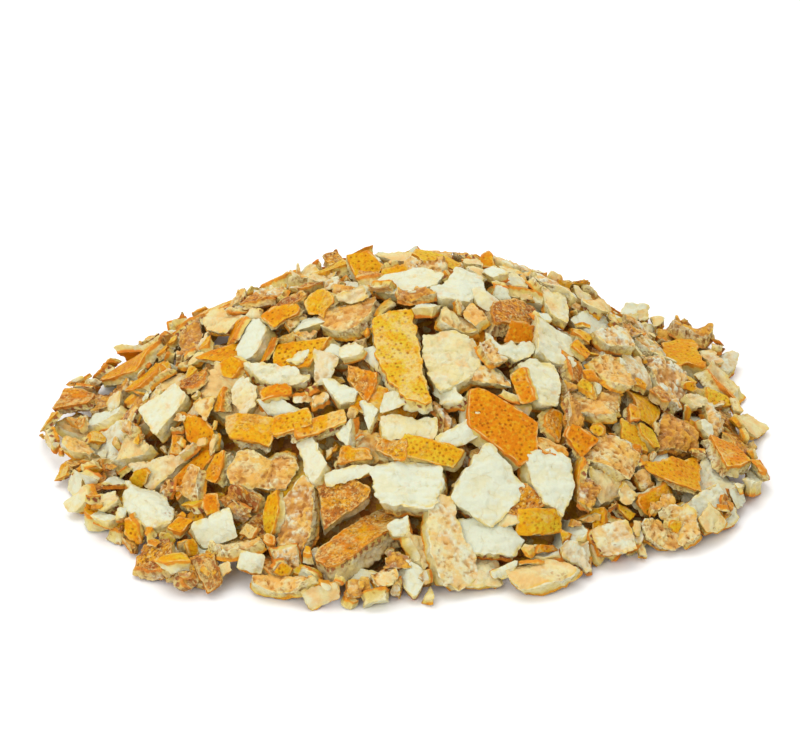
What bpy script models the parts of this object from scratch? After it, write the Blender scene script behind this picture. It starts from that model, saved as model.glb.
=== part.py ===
"""A loose heap of dried, cut orange peel, modelled as one solid out to its uneven outline.

Flat chips of peel lie over a low mound, each turned and tilted its own way, and stick out past its foot.
Mound and chips are joined into one body with a flat underside. Units are metres, +Z is up, and the heap
rests on z = 0 with the middle of its box over the origin.
"""

import math
import random

import bmesh
import bpy
from mathutils import Euler, Matrix, Vector

# The heap's box
HEAP_LENGTH = 0.086
HEAP_DEPTH = 0.073
HEAP_HEIGHT = 0.024

# The mound under the chips
MOUND_SHARE = 0.87  # its length and depth, as a share of the heap's
MOUND_HEIGHT = 0.0200
MOUND_POWER = 1.75  # 1 is a cone, 2 a round dome
MOUND_RINGS = 12
MOUND_SECTORS = 48

# The chips
CHIP_COUNT = 165
CHIP_LENGTH = 0.0094
CHIP_WIDTH = 0.0072
CHIP_THICKNESS = 0.0023
CHIP_SIZE_SPREAD = 0.30  # how far a chip's sides stray from the mean, as a share
CORNER_SPREAD = 0.22  # how far a corner strays from the rectangle, as a share
CHIP_TILT = math.radians(24)  # the steepest lean of a chip against the mound
CHIP_SINK = (0.0000, 0.0013)  # how deep a chip's underside lies in the mound, or past its foot in the ground

SEED = 11

PEEL_COLOUR = (0.62, 0.42, 0.15, 1.0)
PEEL_ROUGHNESS = 0.85


def mound_radius(x, y):
    """Distance from the middle of the mound, 1 at its foot."""
    half_length = HEAP_LENGTH * MOUND_SHARE / 2
    half_depth = HEAP_DEPTH * MOUND_SHARE / 2
    return math.hypot(x / half_length, y / half_depth)


def mound_height(x, y):
    """Height of the smooth mound under the chips."""
    return MOUND_HEIGHT * max(0.0, 1.0 - mound_radius(x, y) ** MOUND_POWER)


def mound_normal(x, y):
    """The direction that the mound's surface faces."""
    step = CHIP_THICKNESS / 2
    slope_x = (mound_height(x + step, y) - mound_height(x - step, y)) / (2 * step)
    slope_y = (mound_height(x, y + step) - mound_height(x, y - step)) / (2 * step)
    return Vector((-slope_x, -slope_y, 1)).normalized()


def add_mound(bm):
    """A closed dome of rings that narrow towards the top."""
    rings = []
    for ring in range(MOUND_RINGS):
        share = 1 - ring / MOUND_RINGS
        points = []
        for sector in range(MOUND_SECTORS):
            angle = math.tau * sector / MOUND_SECTORS
            x = HEAP_LENGTH * MOUND_SHARE / 2 * share * math.cos(angle)
            y = HEAP_DEPTH * MOUND_SHARE / 2 * share * math.sin(angle)
            points.append(bm.verts.new((x, y, mound_height(x, y))))
        rings.append(points)
    top = bm.verts.new((0, 0, MOUND_HEIGHT))
    for lower, upper in zip(rings, rings[1:]):
        for n in range(MOUND_SECTORS):
            after = (n + 1) % MOUND_SECTORS
            bm.faces.new((lower[n], lower[after], upper[after], upper[n]))
    for n in range(MOUND_SECTORS):
        bm.faces.new((rings[-1][n], rings[-1][(n + 1) % MOUND_SECTORS], top))
    bm.faces.new(list(reversed(rings[0])))


def chip_corners(draw):
    """The outline of one chip: a rectangle with its corners out of place, and sometimes one cut off."""
    length = CHIP_LENGTH / 2 * (1 + draw.uniform(-1, 1) * CHIP_SIZE_SPREAD)
    width = CHIP_WIDTH / 2 * (1 + draw.uniform(-1, 1) * CHIP_SIZE_SPREAD)
    corners = []
    for sign_x, sign_y in ((-1, -1), (1, -1), (1, 1), (-1, 1)):
        x = sign_x * length * (1 + draw.uniform(-1, 1) * CORNER_SPREAD)
        y = sign_y * width * (1 + draw.uniform(-1, 1) * CORNER_SPREAD)
        corners.append(Vector((x, y, 0)))
    if draw.random() < 0.5:
        before, cut, after = corners[-1], corners[0], corners[1]
        corners[:1] = [cut.lerp(before, 0.35), cut.lerp(after, 0.35)]
    return corners


def add_chip(bm, x, y, draw):
    """One slab of peel, turned and leaning its own way, partly sunk in the mound."""
    corners = chip_corners(draw)
    yaw = Matrix.Rotation(draw.uniform(0, math.tau), 4, "Z")
    lean = draw.uniform(0, math.tau)
    tilt = draw.uniform(0, CHIP_TILT)
    sink = draw.uniform(*CHIP_SINK)
    leaning = Euler((tilt * math.cos(lean), tilt * math.sin(lean), 0)).to_matrix().to_4x4()
    facing = mound_normal(x, y)
    along = Vector((0, 0, 1)).rotation_difference(facing).to_matrix().to_4x4()
    seat = Vector((x, y, mound_height(x, y))) - facing * sink
    place = Matrix.Translation(seat) @ along @ leaning @ yaw
    underside = bm.faces.new([bm.verts.new(place @ corner) for corner in corners])
    raised = bmesh.ops.extrude_face_region(bm, geom=[underside])
    upper = [item for item in raised["geom"] if isinstance(item, bmesh.types.BMVert)]
    upright = place.to_3x3() @ Vector((0, 0, CHIP_THICKNESS))
    bmesh.ops.translate(bm, verts=upper, vec=upright)


def add_chips(bm):
    """Chips spread evenly over the heap by the golden angle, a little out of place."""
    draw = random.Random(SEED)
    golden = math.pi * (3 - math.sqrt(5))
    inset = CHIP_WIDTH / 2
    for n in range(CHIP_COUNT):
        share = math.sqrt((n + 0.5) / CHIP_COUNT)
        angle = n * golden + draw.uniform(-0.2, 0.2)
        x = (HEAP_LENGTH / 2 - inset) * share * math.cos(angle)
        y = (HEAP_DEPTH / 2 - inset) * share * math.sin(angle)
        add_chip(bm, x, y, draw)


def mesh_object(name, fill):
    """An object whose mesh the given function fills."""
    bm = bmesh.new()
    fill(bm)
    bmesh.ops.recalc_face_normals(bm, faces=bm.faces)
    mesh = bpy.data.meshes.new(name)
    bm.to_mesh(mesh)
    bm.free()
    obj = bpy.data.objects.new(name, mesh)
    bpy.context.scene.collection.objects.link(obj)
    return obj


def helper(obj):
    """Marks an object that only shapes another."""
    obj.hide_render = True
    obj.display_type = "WIRE"
    return obj


def add_ground(bm):
    """A block below z = 0."""
    depth = CHIP_LENGTH * 2
    place = Matrix.Translation((0, 0, -depth / 2))
    size = Matrix.Diagonal((HEAP_LENGTH * 2, HEAP_LENGTH * 2, depth, 1))
    bmesh.ops.create_cube(bm, size=1, matrix=place @ size)


def boolean(obj, operation, other):
    modifier = obj.modifiers.new(operation.lower(), "BOOLEAN")
    modifier.operation = operation
    modifier.solver = "EXACT"
    modifier.use_self = True
    modifier.object = other


def joined_mesh(obj):
    """The object's mesh after its modifiers."""
    graph = bpy.context.evaluated_depsgraph_get()
    return bpy.data.meshes.new_from_object(obj.evaluated_get(graph))


def island_from(start):
    """All faces that hang together with the given one."""
    found = {start}
    waiting = [start]
    while waiting:
        face = waiting.pop()
        around = {other for edge in face.edges for other in edge.link_faces}
        waiting.extend(around - found)
        found |= around
    return found


def keep_outer_shell(mesh):
    """Drops the shells of sealed cavities between chips, so that the heap is solid inside."""
    bm = bmesh.new()
    bm.from_mesh(mesh)
    highest = max(bm.verts, key=lambda vert: vert.co.z)
    outer = island_from(highest.link_faces[0])
    bmesh.ops.delete(bm, geom=[face for face in bm.faces if face not in outer], context="FACES")
    bm.to_mesh(mesh)
    bm.free()


def fit_to_box(mesh):
    """Brings the heap to its real length, depth and height, with the middle of its foot at the origin."""
    low = Vector([min(vert.co[axis] for vert in mesh.vertices) for axis in range(3)])
    high = Vector([max(vert.co[axis] for vert in mesh.vertices) for axis in range(3)])
    size = high - low
    middle = Vector(((low.x + high.x) / 2, (low.y + high.y) / 2, low.z))
    scale = Matrix.Diagonal((HEAP_LENGTH / size.x, HEAP_DEPTH / size.y, HEAP_HEIGHT / size.z, 1))
    mesh.transform(scale @ Matrix.Translation(-middle))


def peel_material():
    material = bpy.data.materials.new("dried_peel")
    material.use_nodes = True
    shader = material.node_tree.nodes["Principled BSDF"]
    shader.inputs["Base Color"].default_value = PEEL_COLOUR
    shader.inputs["Roughness"].default_value = PEEL_ROUGHNESS
    shader.inputs["Metallic"].default_value = 0.0
    return material


def main():
    for obj in list(bpy.data.objects):
        bpy.data.objects.remove(obj)
    mound = helper(mesh_object("mound", add_mound))
    boolean(mound, "UNION", helper(mesh_object("loose_chips", add_chips)))
    boolean(mound, "DIFFERENCE", helper(mesh_object("ground_cutter", add_ground)))
    heap = bpy.data.objects.new("peel_heap", joined_mesh(mound))
    keep_outer_shell(heap.data)
    fit_to_box(heap.data)
    heap.data.materials.append(peel_material())
    bpy.context.scene.collection.objects.link(heap)


main()
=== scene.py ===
import math
import random

import bpy
import numpy as np
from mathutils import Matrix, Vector
from mathutils.bvhtree import BVHTree
from mathutils.geometry import delaunay_2d_cdt


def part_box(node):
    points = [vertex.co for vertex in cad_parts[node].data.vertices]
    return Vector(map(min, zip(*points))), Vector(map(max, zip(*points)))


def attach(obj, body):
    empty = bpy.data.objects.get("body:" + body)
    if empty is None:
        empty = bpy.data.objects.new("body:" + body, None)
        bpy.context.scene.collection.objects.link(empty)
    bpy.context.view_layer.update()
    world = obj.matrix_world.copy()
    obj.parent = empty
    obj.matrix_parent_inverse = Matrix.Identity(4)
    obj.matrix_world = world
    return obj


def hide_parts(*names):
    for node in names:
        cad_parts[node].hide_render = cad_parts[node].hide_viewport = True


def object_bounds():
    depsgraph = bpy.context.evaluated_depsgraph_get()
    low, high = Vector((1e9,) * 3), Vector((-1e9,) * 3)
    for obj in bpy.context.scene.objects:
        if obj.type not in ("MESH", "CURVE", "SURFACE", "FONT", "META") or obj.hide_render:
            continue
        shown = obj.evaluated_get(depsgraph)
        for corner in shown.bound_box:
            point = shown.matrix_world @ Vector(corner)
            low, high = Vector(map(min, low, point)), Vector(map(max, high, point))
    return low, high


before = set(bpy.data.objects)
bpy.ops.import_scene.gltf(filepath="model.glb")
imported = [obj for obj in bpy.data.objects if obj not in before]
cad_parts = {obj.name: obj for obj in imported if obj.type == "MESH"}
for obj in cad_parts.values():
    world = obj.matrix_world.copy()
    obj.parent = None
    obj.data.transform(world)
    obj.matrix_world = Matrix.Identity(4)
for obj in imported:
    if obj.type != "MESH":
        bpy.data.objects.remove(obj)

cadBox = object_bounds()
mm = 0.001


def softNoise(points, size, seed):
    # Smooth noise from -1 to 1, in blobs of the given size
    scaled = points / size + np.array([7.13, 3.71, 5.37]) * seed
    cell = np.floor(scaled).astype(np.int64)
    part = scaled - cell
    part = part * part * (3 - 2 * part)
    total = np.zeros(len(scaled))
    for corner in range(8):
        step = np.array([corner & 1, corner >> 1 & 1, corner >> 2 & 1])
        key = (cell + step) @ np.array([374761393, 668265263, 1442695041])
        key = (key ^ (key >> 13)) * 1274126177
        value = ((key ^ (key >> 16)) & 0xFFFFFF) / 0x7FFFFF - 1
        total += value * np.prod(np.where(step, part, 1 - part), axis=1)
    return total


def linked(name, data):
    made = bpy.data.objects.new(name, data)
    bpy.context.scene.collection.objects.link(made)
    return made


def nearest(spots, targets):
    # How far each spot is from the nearest target
    apart = np.sum((spots[:, None] - targets) ** 2, axis=2)
    return np.sqrt(np.min(apart, axis=1)) if len(spots) else np.zeros(0)


# The heap's outer shape, read from the CAD solid as a field of heights

heapPlan = {
    "cell": 0.5 * mm,       # grid on which the chips are laid
    "margin": 8 * mm,
    "blur": 2.0 * mm,       # evens out the single chips of the CAD solid
    "slopeBlur": 4.0 * mm,
    "coreDepth": 6.2 * mm,  # how far the core stays under the chips' tops
    "footLow": 0.35 * mm,   # the foot ends where the heap is lower than this
    "footHigh": 2.3 * mm,   # chips lying on the floor reach this high
    "pastFoot": 2.4 * mm,   # how far a chip may lie past the CAD solid's box
    "seed": 23,
}
cell = heapPlan["cell"]


def blurred(field, size):
    reach = int(size / cell * 3)
    kernel = np.exp(-0.5 * (np.arange(-reach, reach + 1) * cell / size) ** 2)
    kernel /= kernel.sum()
    field = np.apply_along_axis(np.convolve, 0, field, kernel, "same")
    return np.apply_along_axis(np.convolve, 1, field, kernel, "same")


def solidHeights():
    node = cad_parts["peel_heap"]
    low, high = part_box("peel_heap")
    across = np.arange(low.x - heapPlan["margin"], high.x + heapPlan["margin"], cell)
    along = np.arange(low.y - heapPlan["margin"], high.y + heapPlan["margin"], cell)
    corners = [vertex.co for vertex in node.data.vertices]
    tree = BVHTree.FromPolygons(corners, [polygon.vertices for polygon in node.data.polygons])
    heights = np.zeros((len(along), len(across)))
    for row, y in enumerate(along):
        for column, x in enumerate(across):
            hit = tree.ray_cast(Vector((x, y, high.z * 2)), Vector((0, 0, -1)))[0]
            if hit:
                heights[row, column] = hit.z
    return across, along, heights


across, along, solidTop = solidHeights()
smoothTop = blurred(solidTop, heapPlan["blur"])
slopeY, slopeX = np.gradient(blurred(solidTop, heapPlan["slopeBlur"]), cell)
coreTop = np.maximum(smoothTop - heapPlan["coreDepth"], 0)
laidTop = coreTop.copy()  # grows with each chip that is laid
heapTop = np.where(smoothTop > heapPlan["footLow"], np.maximum(smoothTop, heapPlan["footHigh"]), 0)
print("heap heights read:", smoothTop.shape, "top", round(smoothTop.max() / mm, 1), "mm")


def gridIndex(x, y):
    column = np.clip(((x - across[0]) / cell + 0.5).astype(int), 0, len(across) - 1)
    row = np.clip(((y - along[0]) / cell + 0.5).astype(int), 0, len(along) - 1)
    return row, column


# Chips: a flat outline, which is then bent and curled

chipMaking = {
    "thickness": (1.2 * mm, 2.3 * mm),
    "bend": (-105.0, 45.0),       # one over the radius, per metre; below 0 the zest is the outer side
    "curl": 0.95 * mm,            # uneven lift of a dried chip
    "curlSize": 4.0 * mm,
    "raggedness": 0.37 * mm,
    "taper": (0.1, 0.65),         # how much thinner the pith can get at the cut
    "cornerCut": 0.07,
    "slant": 0.8 * mm,            # how far a slanted cut shifts the outline through the thickness
    "spread": 0.38 * mm,          # how much wider one face can be than the other
    "lip": 0.07 * mm,             # rounding of the cut's edges
    "cloudStep": 0.62 * mm,       # spacing of the points that feel for a resting place
}


def drawnCorners(draw, form, length, width):
    half = np.array([length / 2, width / 2])
    if form == "lens":
        angles = np.linspace(0, math.tau, 12, endpoint=False)
        points = np.column_stack([np.cos(angles), np.sin(angles) * (1 - 0.35 * np.cos(angles) ** 2)])
        points[:, 1] += 0.25 * (points[:, 0] ** 2 - 0.5) * draw.choice((-1, 0, 1))
    elif form == "shard":
        points = np.array([(-1, -0.9), (1, -0.3), (-0.3, 1)])
    elif form == "wedge":
        points = np.array([(-1, -0.8), (1, -0.45), (0.8, 0.6), (-0.7, 1)])
    else:
        points = np.array([(-1, -1), (1, -1), (1, 1), (-1, 1)])
        if draw.random() < 0.5:
            points = np.vstack([(-1, -0.2), (-0.3, -1), points[1:]])
    points = points + [[draw.uniform(-0.2, 0.2), draw.uniform(-0.2, 0.2)] for _ in points]
    return points * half


def newChip(draw, corners, side, tone, browned, thickness=None, flatter=1.0):
    corners = np.array(corners, float)
    area = np.sum(corners[:, 0] * np.roll(corners[:, 1], -1) - corners[:, 1] * np.roll(corners[:, 0], -1))
    if area < 0:
        corners = corners[::-1]
    if side == "pith":
        corners = corners[::-1] * (1, -1)  # the chip lies face down, so its outline is mirrored
    slantTurn = draw.uniform(0, math.tau)
    bends = [draw.uniform(*chipMaking["bend"]) * flatter for _ in range(2)]
    chip = {
        "corners": corners,
        "side": side,
        "tone": tone,
        "browned": browned,
        "seed": draw.uniform(1, 90),
        "thickness": thickness or draw.uniform(*chipMaking["thickness"]),
        "bend": (bends[0], bends[1], draw.uniform(-12, 12)),
        "curl": chipMaking["curl"] * (0.5 + 1.2 * browned) * flatter,
        "ragged": chipMaking["raggedness"] * draw.uniform(0.5, 1.6),
        "slant": np.array([math.cos(slantTurn), math.sin(slantTurn)]) * chipMaking["slant"] * draw.random(),
        "crumbly": draw.random(),
        "taper": draw.uniform(*chipMaking["taper"]),
        "glands": draw.uniform(0.5, 1),
        "glandPitch": draw.uniform(0.66, 0.92) * mm,
        "lumpy": draw.uniform(0.35, 1.3),
        "spread": chipMaking["spread"] * draw.uniform(-0.2, 1),
    }
    if side == "zest":
        chip["crumbly"] = max(chip["crumbly"] ** 2, 0.6 * browned)
    else:
        chip["crumbly"] = max(chip["crumbly"] ** 2 * tone, min(1.4 * browned, 1))
    return chip


def outward(loop):
    along = np.roll(loop, -1, axis=0) - np.roll(loop, 1, axis=0)
    normal = np.column_stack([along[:, 1], -along[:, 0]])
    return normal / np.maximum(np.linalg.norm(normal, axis=1), 1e-9)[:, None]


def raggedLoop(chip, step, ragged):
    points = chip["corners"]
    for share in (chipMaking["cornerCut"], 0.25):  # takes the sharpness off the corners
        after = np.roll(points, -1, axis=0)
        points = np.stack([points + (after - points) * share, after + (points - after) * share], axis=1)
        points = points.reshape(-1, 2)
    closed = np.vstack([points, points[:1]])
    run = np.concatenate([[0], np.cumsum(np.linalg.norm(np.diff(closed, axis=0), axis=1))])
    count = max(12, int(run[-1] / step))
    at = np.linspace(0, run[-1], count, endpoint=False)
    loop = np.column_stack([np.interp(at, run, closed[:, 0]), np.interp(at, run, closed[:, 1])])
    flat = np.column_stack([loop, np.zeros(count)])
    blobs = ((2.4, 1.0), (1.0, 0.7), (0.5, 0.45))  # sizes in millimetres and their shares
    push = sum(share * softNoise(flat, size * mm, chip["seed"] + size) for size, share in blobs)
    torn = 0.55 + 0.9 * softNoise(flat, 4.5 * mm, chip["seed"] + 17)
    torn = np.clip(torn, 0.15, 1.3)  # the rest is cut clean
    return loop + outward(loop) * (push * torn * ragged)[:, None]


def thinning(chip, spots, reach):
    # Share of the thickness that is missing at spots this far from the cut
    flat = np.column_stack([spots, np.zeros(len(spots))])
    uneven = np.clip(0.45 + 0.9 * softNoise(flat, 3.0 * mm, chip["seed"] + 13), 0, 1)
    return chip["taper"] * uneven * np.clip(1 - reach / (1.7 * mm), 0, 1) ** 1.5


def inside(points, loop, clear):
    after = np.roll(loop, -1, axis=0)
    x, y = points[:, :1], points[:, 1:]
    rising = (loop[:, 1] > y) != (after[:, 1] > y)
    drop = np.where(after[:, 1] == loop[:, 1], 1e-12, after[:, 1] - loop[:, 1])
    crossing = rising & (x < (after[:, 0] - loop[:, 0]) * (y - loop[:, 1]) / drop + loop[:, 0])
    near = np.min((x - loop[:, 0]) ** 2 + (y - loop[:, 1]) ** 2, axis=1)
    return (crossing.sum(axis=1) % 2 == 1) & (near > clear ** 2)


def lattice(loop, pitch):
    low, high = loop.min(axis=0), loop.max(axis=0)
    rows = np.arange(low[1], high[1] + pitch, pitch * math.sqrt(3) / 2)
    columns = np.arange(low[0] - pitch, high[0] + pitch, pitch)
    x, y = np.meshgrid(columns, rows)
    x = x + (np.arange(len(rows)) % 2)[:, None] * pitch / 2
    return np.column_stack([x.ravel(), y.ravel()])


def bendPoints(chip, flat):
    kx, ky, kxy = chip["bend"]

    def lift(x, y):
        spot = np.column_stack([x, y, np.zeros(len(x))])
        curl = chip["curl"] * softNoise(spot, chipMaking["curlSize"], chip["seed"] + 7)
        return (kx * x * x + ky * y * y) / 2 + kxy * x * y + curl

    x, y, z = flat.T
    step = 0.3 * mm
    middle = lift(x, y)
    rise = [middle - lift(x + step, y), middle - lift(x, y + step)]
    normal = np.column_stack([*rise, np.full(len(x), step)])
    normal /= np.linalg.norm(normal, axis=1)[:, None]
    swell = np.where(z < 0, 1 + 0.22 * softNoise(flat * (1, 1, 0), 3 * mm, chip["seed"] + 11), 1)
    return np.column_stack([x, y, middle]) + normal * (z * swell)[:, None]


def feelers(chip, step):
    loop = raggedLoop(chip, step, 0)
    points = lattice(loop, step)
    points = np.vstack([points[inside(points, loop, step * 0.3)], loop])
    half = chip["thickness"] / 2
    reach = nearest(points, loop)
    low = half - 2 * half * (1 - thinning(chip, points, reach))
    levels = [np.column_stack([points, low]), np.column_stack([points, np.full(len(points), half)])]
    levels.append(np.column_stack([loop, low[-len(loop):] / 2 + half / 2]))
    return bendPoints(chip, np.vstack(levels))


# Laying the chips: each one tries many places and turns, drops onto what lies there already, and keeps
# the best of them

laying = {
    "tries": 260,
    "overshoot": 0.7 * mm,
    "airCost": 1.0,
    "overshootCost": 3.0,
    "peakCost": 1.2,      # for a chip's highest corner
    "peakMost": 1.0 * mm,
    "peakSteep": 5.0,
    "peakLast": 2.4 * mm,  # a chip that would stick out further is left out
    "depthGain": 0.8,
    "outsideCost": 6.0,
}


def turns(normal, tilt, tiltWay, yaw, faceDown):
    right = np.array([1.0, 0, 0]) - normal * normal[:, :1]
    right /= np.linalg.norm(right, axis=1)[:, None]
    up = np.cross(normal, right)
    axis = right * np.cos(tiltWay)[:, None] + up * np.sin(tiltWay)[:, None]

    def tilted(vector):
        cosine = np.cos(tilt)[:, None]
        sine = np.sin(tilt)[:, None]
        along = np.sum(axis * vector, axis=1)[:, None]
        return vector * cosine + np.cross(axis, vector) * sine + axis * along * (1 - cosine)

    right, up, normal = tilted(right), tilted(up), tilted(normal)
    x = right * np.cos(yaw)[:, None] + up * np.sin(yaw)[:, None]
    y = up * np.cos(yaw)[:, None] - right * np.sin(yaw)[:, None]
    if faceDown:
        y, normal = -y, -normal
    return np.stack([x, y, normal], axis=2)


def normalsAt(x, y):
    index = gridIndex(x, y)
    normal = np.column_stack([-slopeX[index], -slopeY[index], np.ones(len(x))])
    return normal / np.linalg.norm(normal, axis=1)[:, None]


def dropped(cloud, spots, frames, soft):
    world = np.einsum("kij,mj->kmi", frames, cloud)
    world[:, :, :2] += spots[:, None]
    index = gridIndex(world[..., 0], world[..., 1])
    ground = laidTop[index]
    rise = np.quantile(ground - world[..., 2], soft, axis=1)
    rise = np.maximum(rise, 0.05 * mm - world[..., 2].min(axis=1))  # nothing sinks into the floor
    world[..., 2] += rise[:, None]
    return world, index, ground, rise


def settle(chip, spot, turn, rise):
    cloud = feelers(chip, cell * 0.85) @ turn.T + np.array([spot[0], spot[1], rise])
    np.maximum.at(laidTop, gridIndex(cloud[:, 0], cloud[:, 1]), cloud[:, 2])
    chip["turn"] = turn
    chip["place"] = np.array([spot[0], spot[1], rise])
    chip["cloud"] = cloud
    heapChips.append(chip)


def layFreely(chip, target, weight, tilt, soft, keepOff):
    tries = laying["tries"]
    need = (np.maximum(target - laidTop, 0) * weight).ravel() ** 1.5
    if need.sum() == 0:
        return
    picks = lots.choice(len(need), tries, p=need / need.sum())
    row, column = np.unravel_index(picks, laidTop.shape)
    spots = np.column_stack([across[column], along[row]]) + lots.uniform(-cell, cell, (tries, 2))
    tilts = tilt * lots.uniform(0.7, 1.3, tries)
    way = lots.uniform(0, math.tau, tries)
    yaw = lots.uniform(0, math.tau, tries)
    frames = turns(normalsAt(*spots.T), tilts, way, yaw, chip["side"] == "pith")
    cloud = feelers(chip, chipMaking["cloudStep"])
    world, index, ground, rise = dropped(cloud, spots, frames, soft)
    air = world[..., 2].mean(axis=1) - ground.mean(axis=1) - chip["thickness"] / 2
    over = np.maximum(world[..., 2] - target[index] - laying["overshoot"], 0)
    depth = np.maximum(target[index] - ground, 0).mean(axis=1)
    outside = (heapTop[index] == 0).mean(axis=1) * mm
    cost = air * laying["airCost"] + over.mean(axis=1) * laying["overshootCost"]
    peak = over.max(axis=1)
    cost += peak * laying["peakCost"] + np.maximum(peak - laying["peakMost"], 0) * laying["peakSteep"]
    cost += outside * laying["outsideCost"] - depth * laying["depthGain"]
    cost += taken[index].mean(axis=1) * keepOff
    best = np.argmin(cost)
    if peak[best] < laying["peakLast"]:
        settle(chip, spots[best], frames[best], rise[best])


def tear(chip, crumbly):
    chip["crumbly"] = max(chip["crumbly"], crumbly)
    chip["ragged"] *= 1.5
    chip["lumpy"] = 1.3


looseChips = {
    "pithUp": (0.64, 0.55),       # share of them at the surface, and deep inside
    "browned": (0.15, 0.2),
    "torn": 0.3,                  # crumbly and ragged all over
    "curled": 0.16,
    "curl": (-280.0, -130.0),     # one over the radius, per metre
    "large": (4.0, 10.5, 6.2),    # least, greatest and usual length in millimetres
    "small": (1.6, 5.2, 2.8),
    "tiny": (0.8, 2.5, 1.4),
}


def looseChip(draw, size, deep):
    side = "pith" if draw.random() < looseChips["pithUp"][deep] else "zest"
    burnt = draw.random() < looseChips["browned"][deep]
    browned = draw.uniform(0.5, 1) if burnt else draw.uniform(0, 0.3)
    tone = draw.triangular(0, 1, 0.35) if side == "zest" else draw.random() ** 1.4
    form = draw.choices(("block", "wedge", "shard", "lens"), (5, 3, 1.2, 1))[0]
    length = draw.triangular(*looseChips[size]) * mm
    thickness = None
    if size != "large":
        thickness = min(length * 0.5, draw.uniform(0.7, 1.9) * mm)
        width = length * draw.uniform(0.45, 0.95)
    elif form == "lens":
        width = max(length * draw.uniform(0.3, 0.5), 2.6 * mm)
    else:
        width = max(length * draw.uniform(0.5, 0.95), 2.6 * mm)
    chip = newChip(draw, drawnCorners(draw, form, length, width), side, tone, browned, thickness)
    if draw.random() < looseChips["torn"]:
        tear(chip, draw.uniform(0.55, 1))
    if draw.random() < looseChips["curled"]:
        chip["bend"] = (draw.uniform(*looseChips["curl"]), draw.uniform(-40, 20), 0)
    return chip


# The chips laid one by one on the front of the heap. Each row gives the side that is up, the place in the
# front view in millimetres (across to the right, up from the middle of the foot), the turn, lean and tip in
# degrees (a positive lean lays the chip back and a positive tip drops its right side), the tone from orange
# (0) to yellow (1) or white to cream, the browning, the thickness, and the chip's own outline in millimetres
#     or its
# form, length and width. Chips that lie on others come later.

frontView = {
    "elevation": math.radians(30),
    "soft": 0.9,
    "proud": 0.9 * mm,        # how far a listed chip stands out of the heap
    "clearance": 0.5 * mm,
    "crest": 17.4 * mm,       # chips from here up make the skyline, and nothing stands up behind them
    "behindCrest": (2, 4, 6),
    "lowBehind": 1.3 * mm,
}

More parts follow.
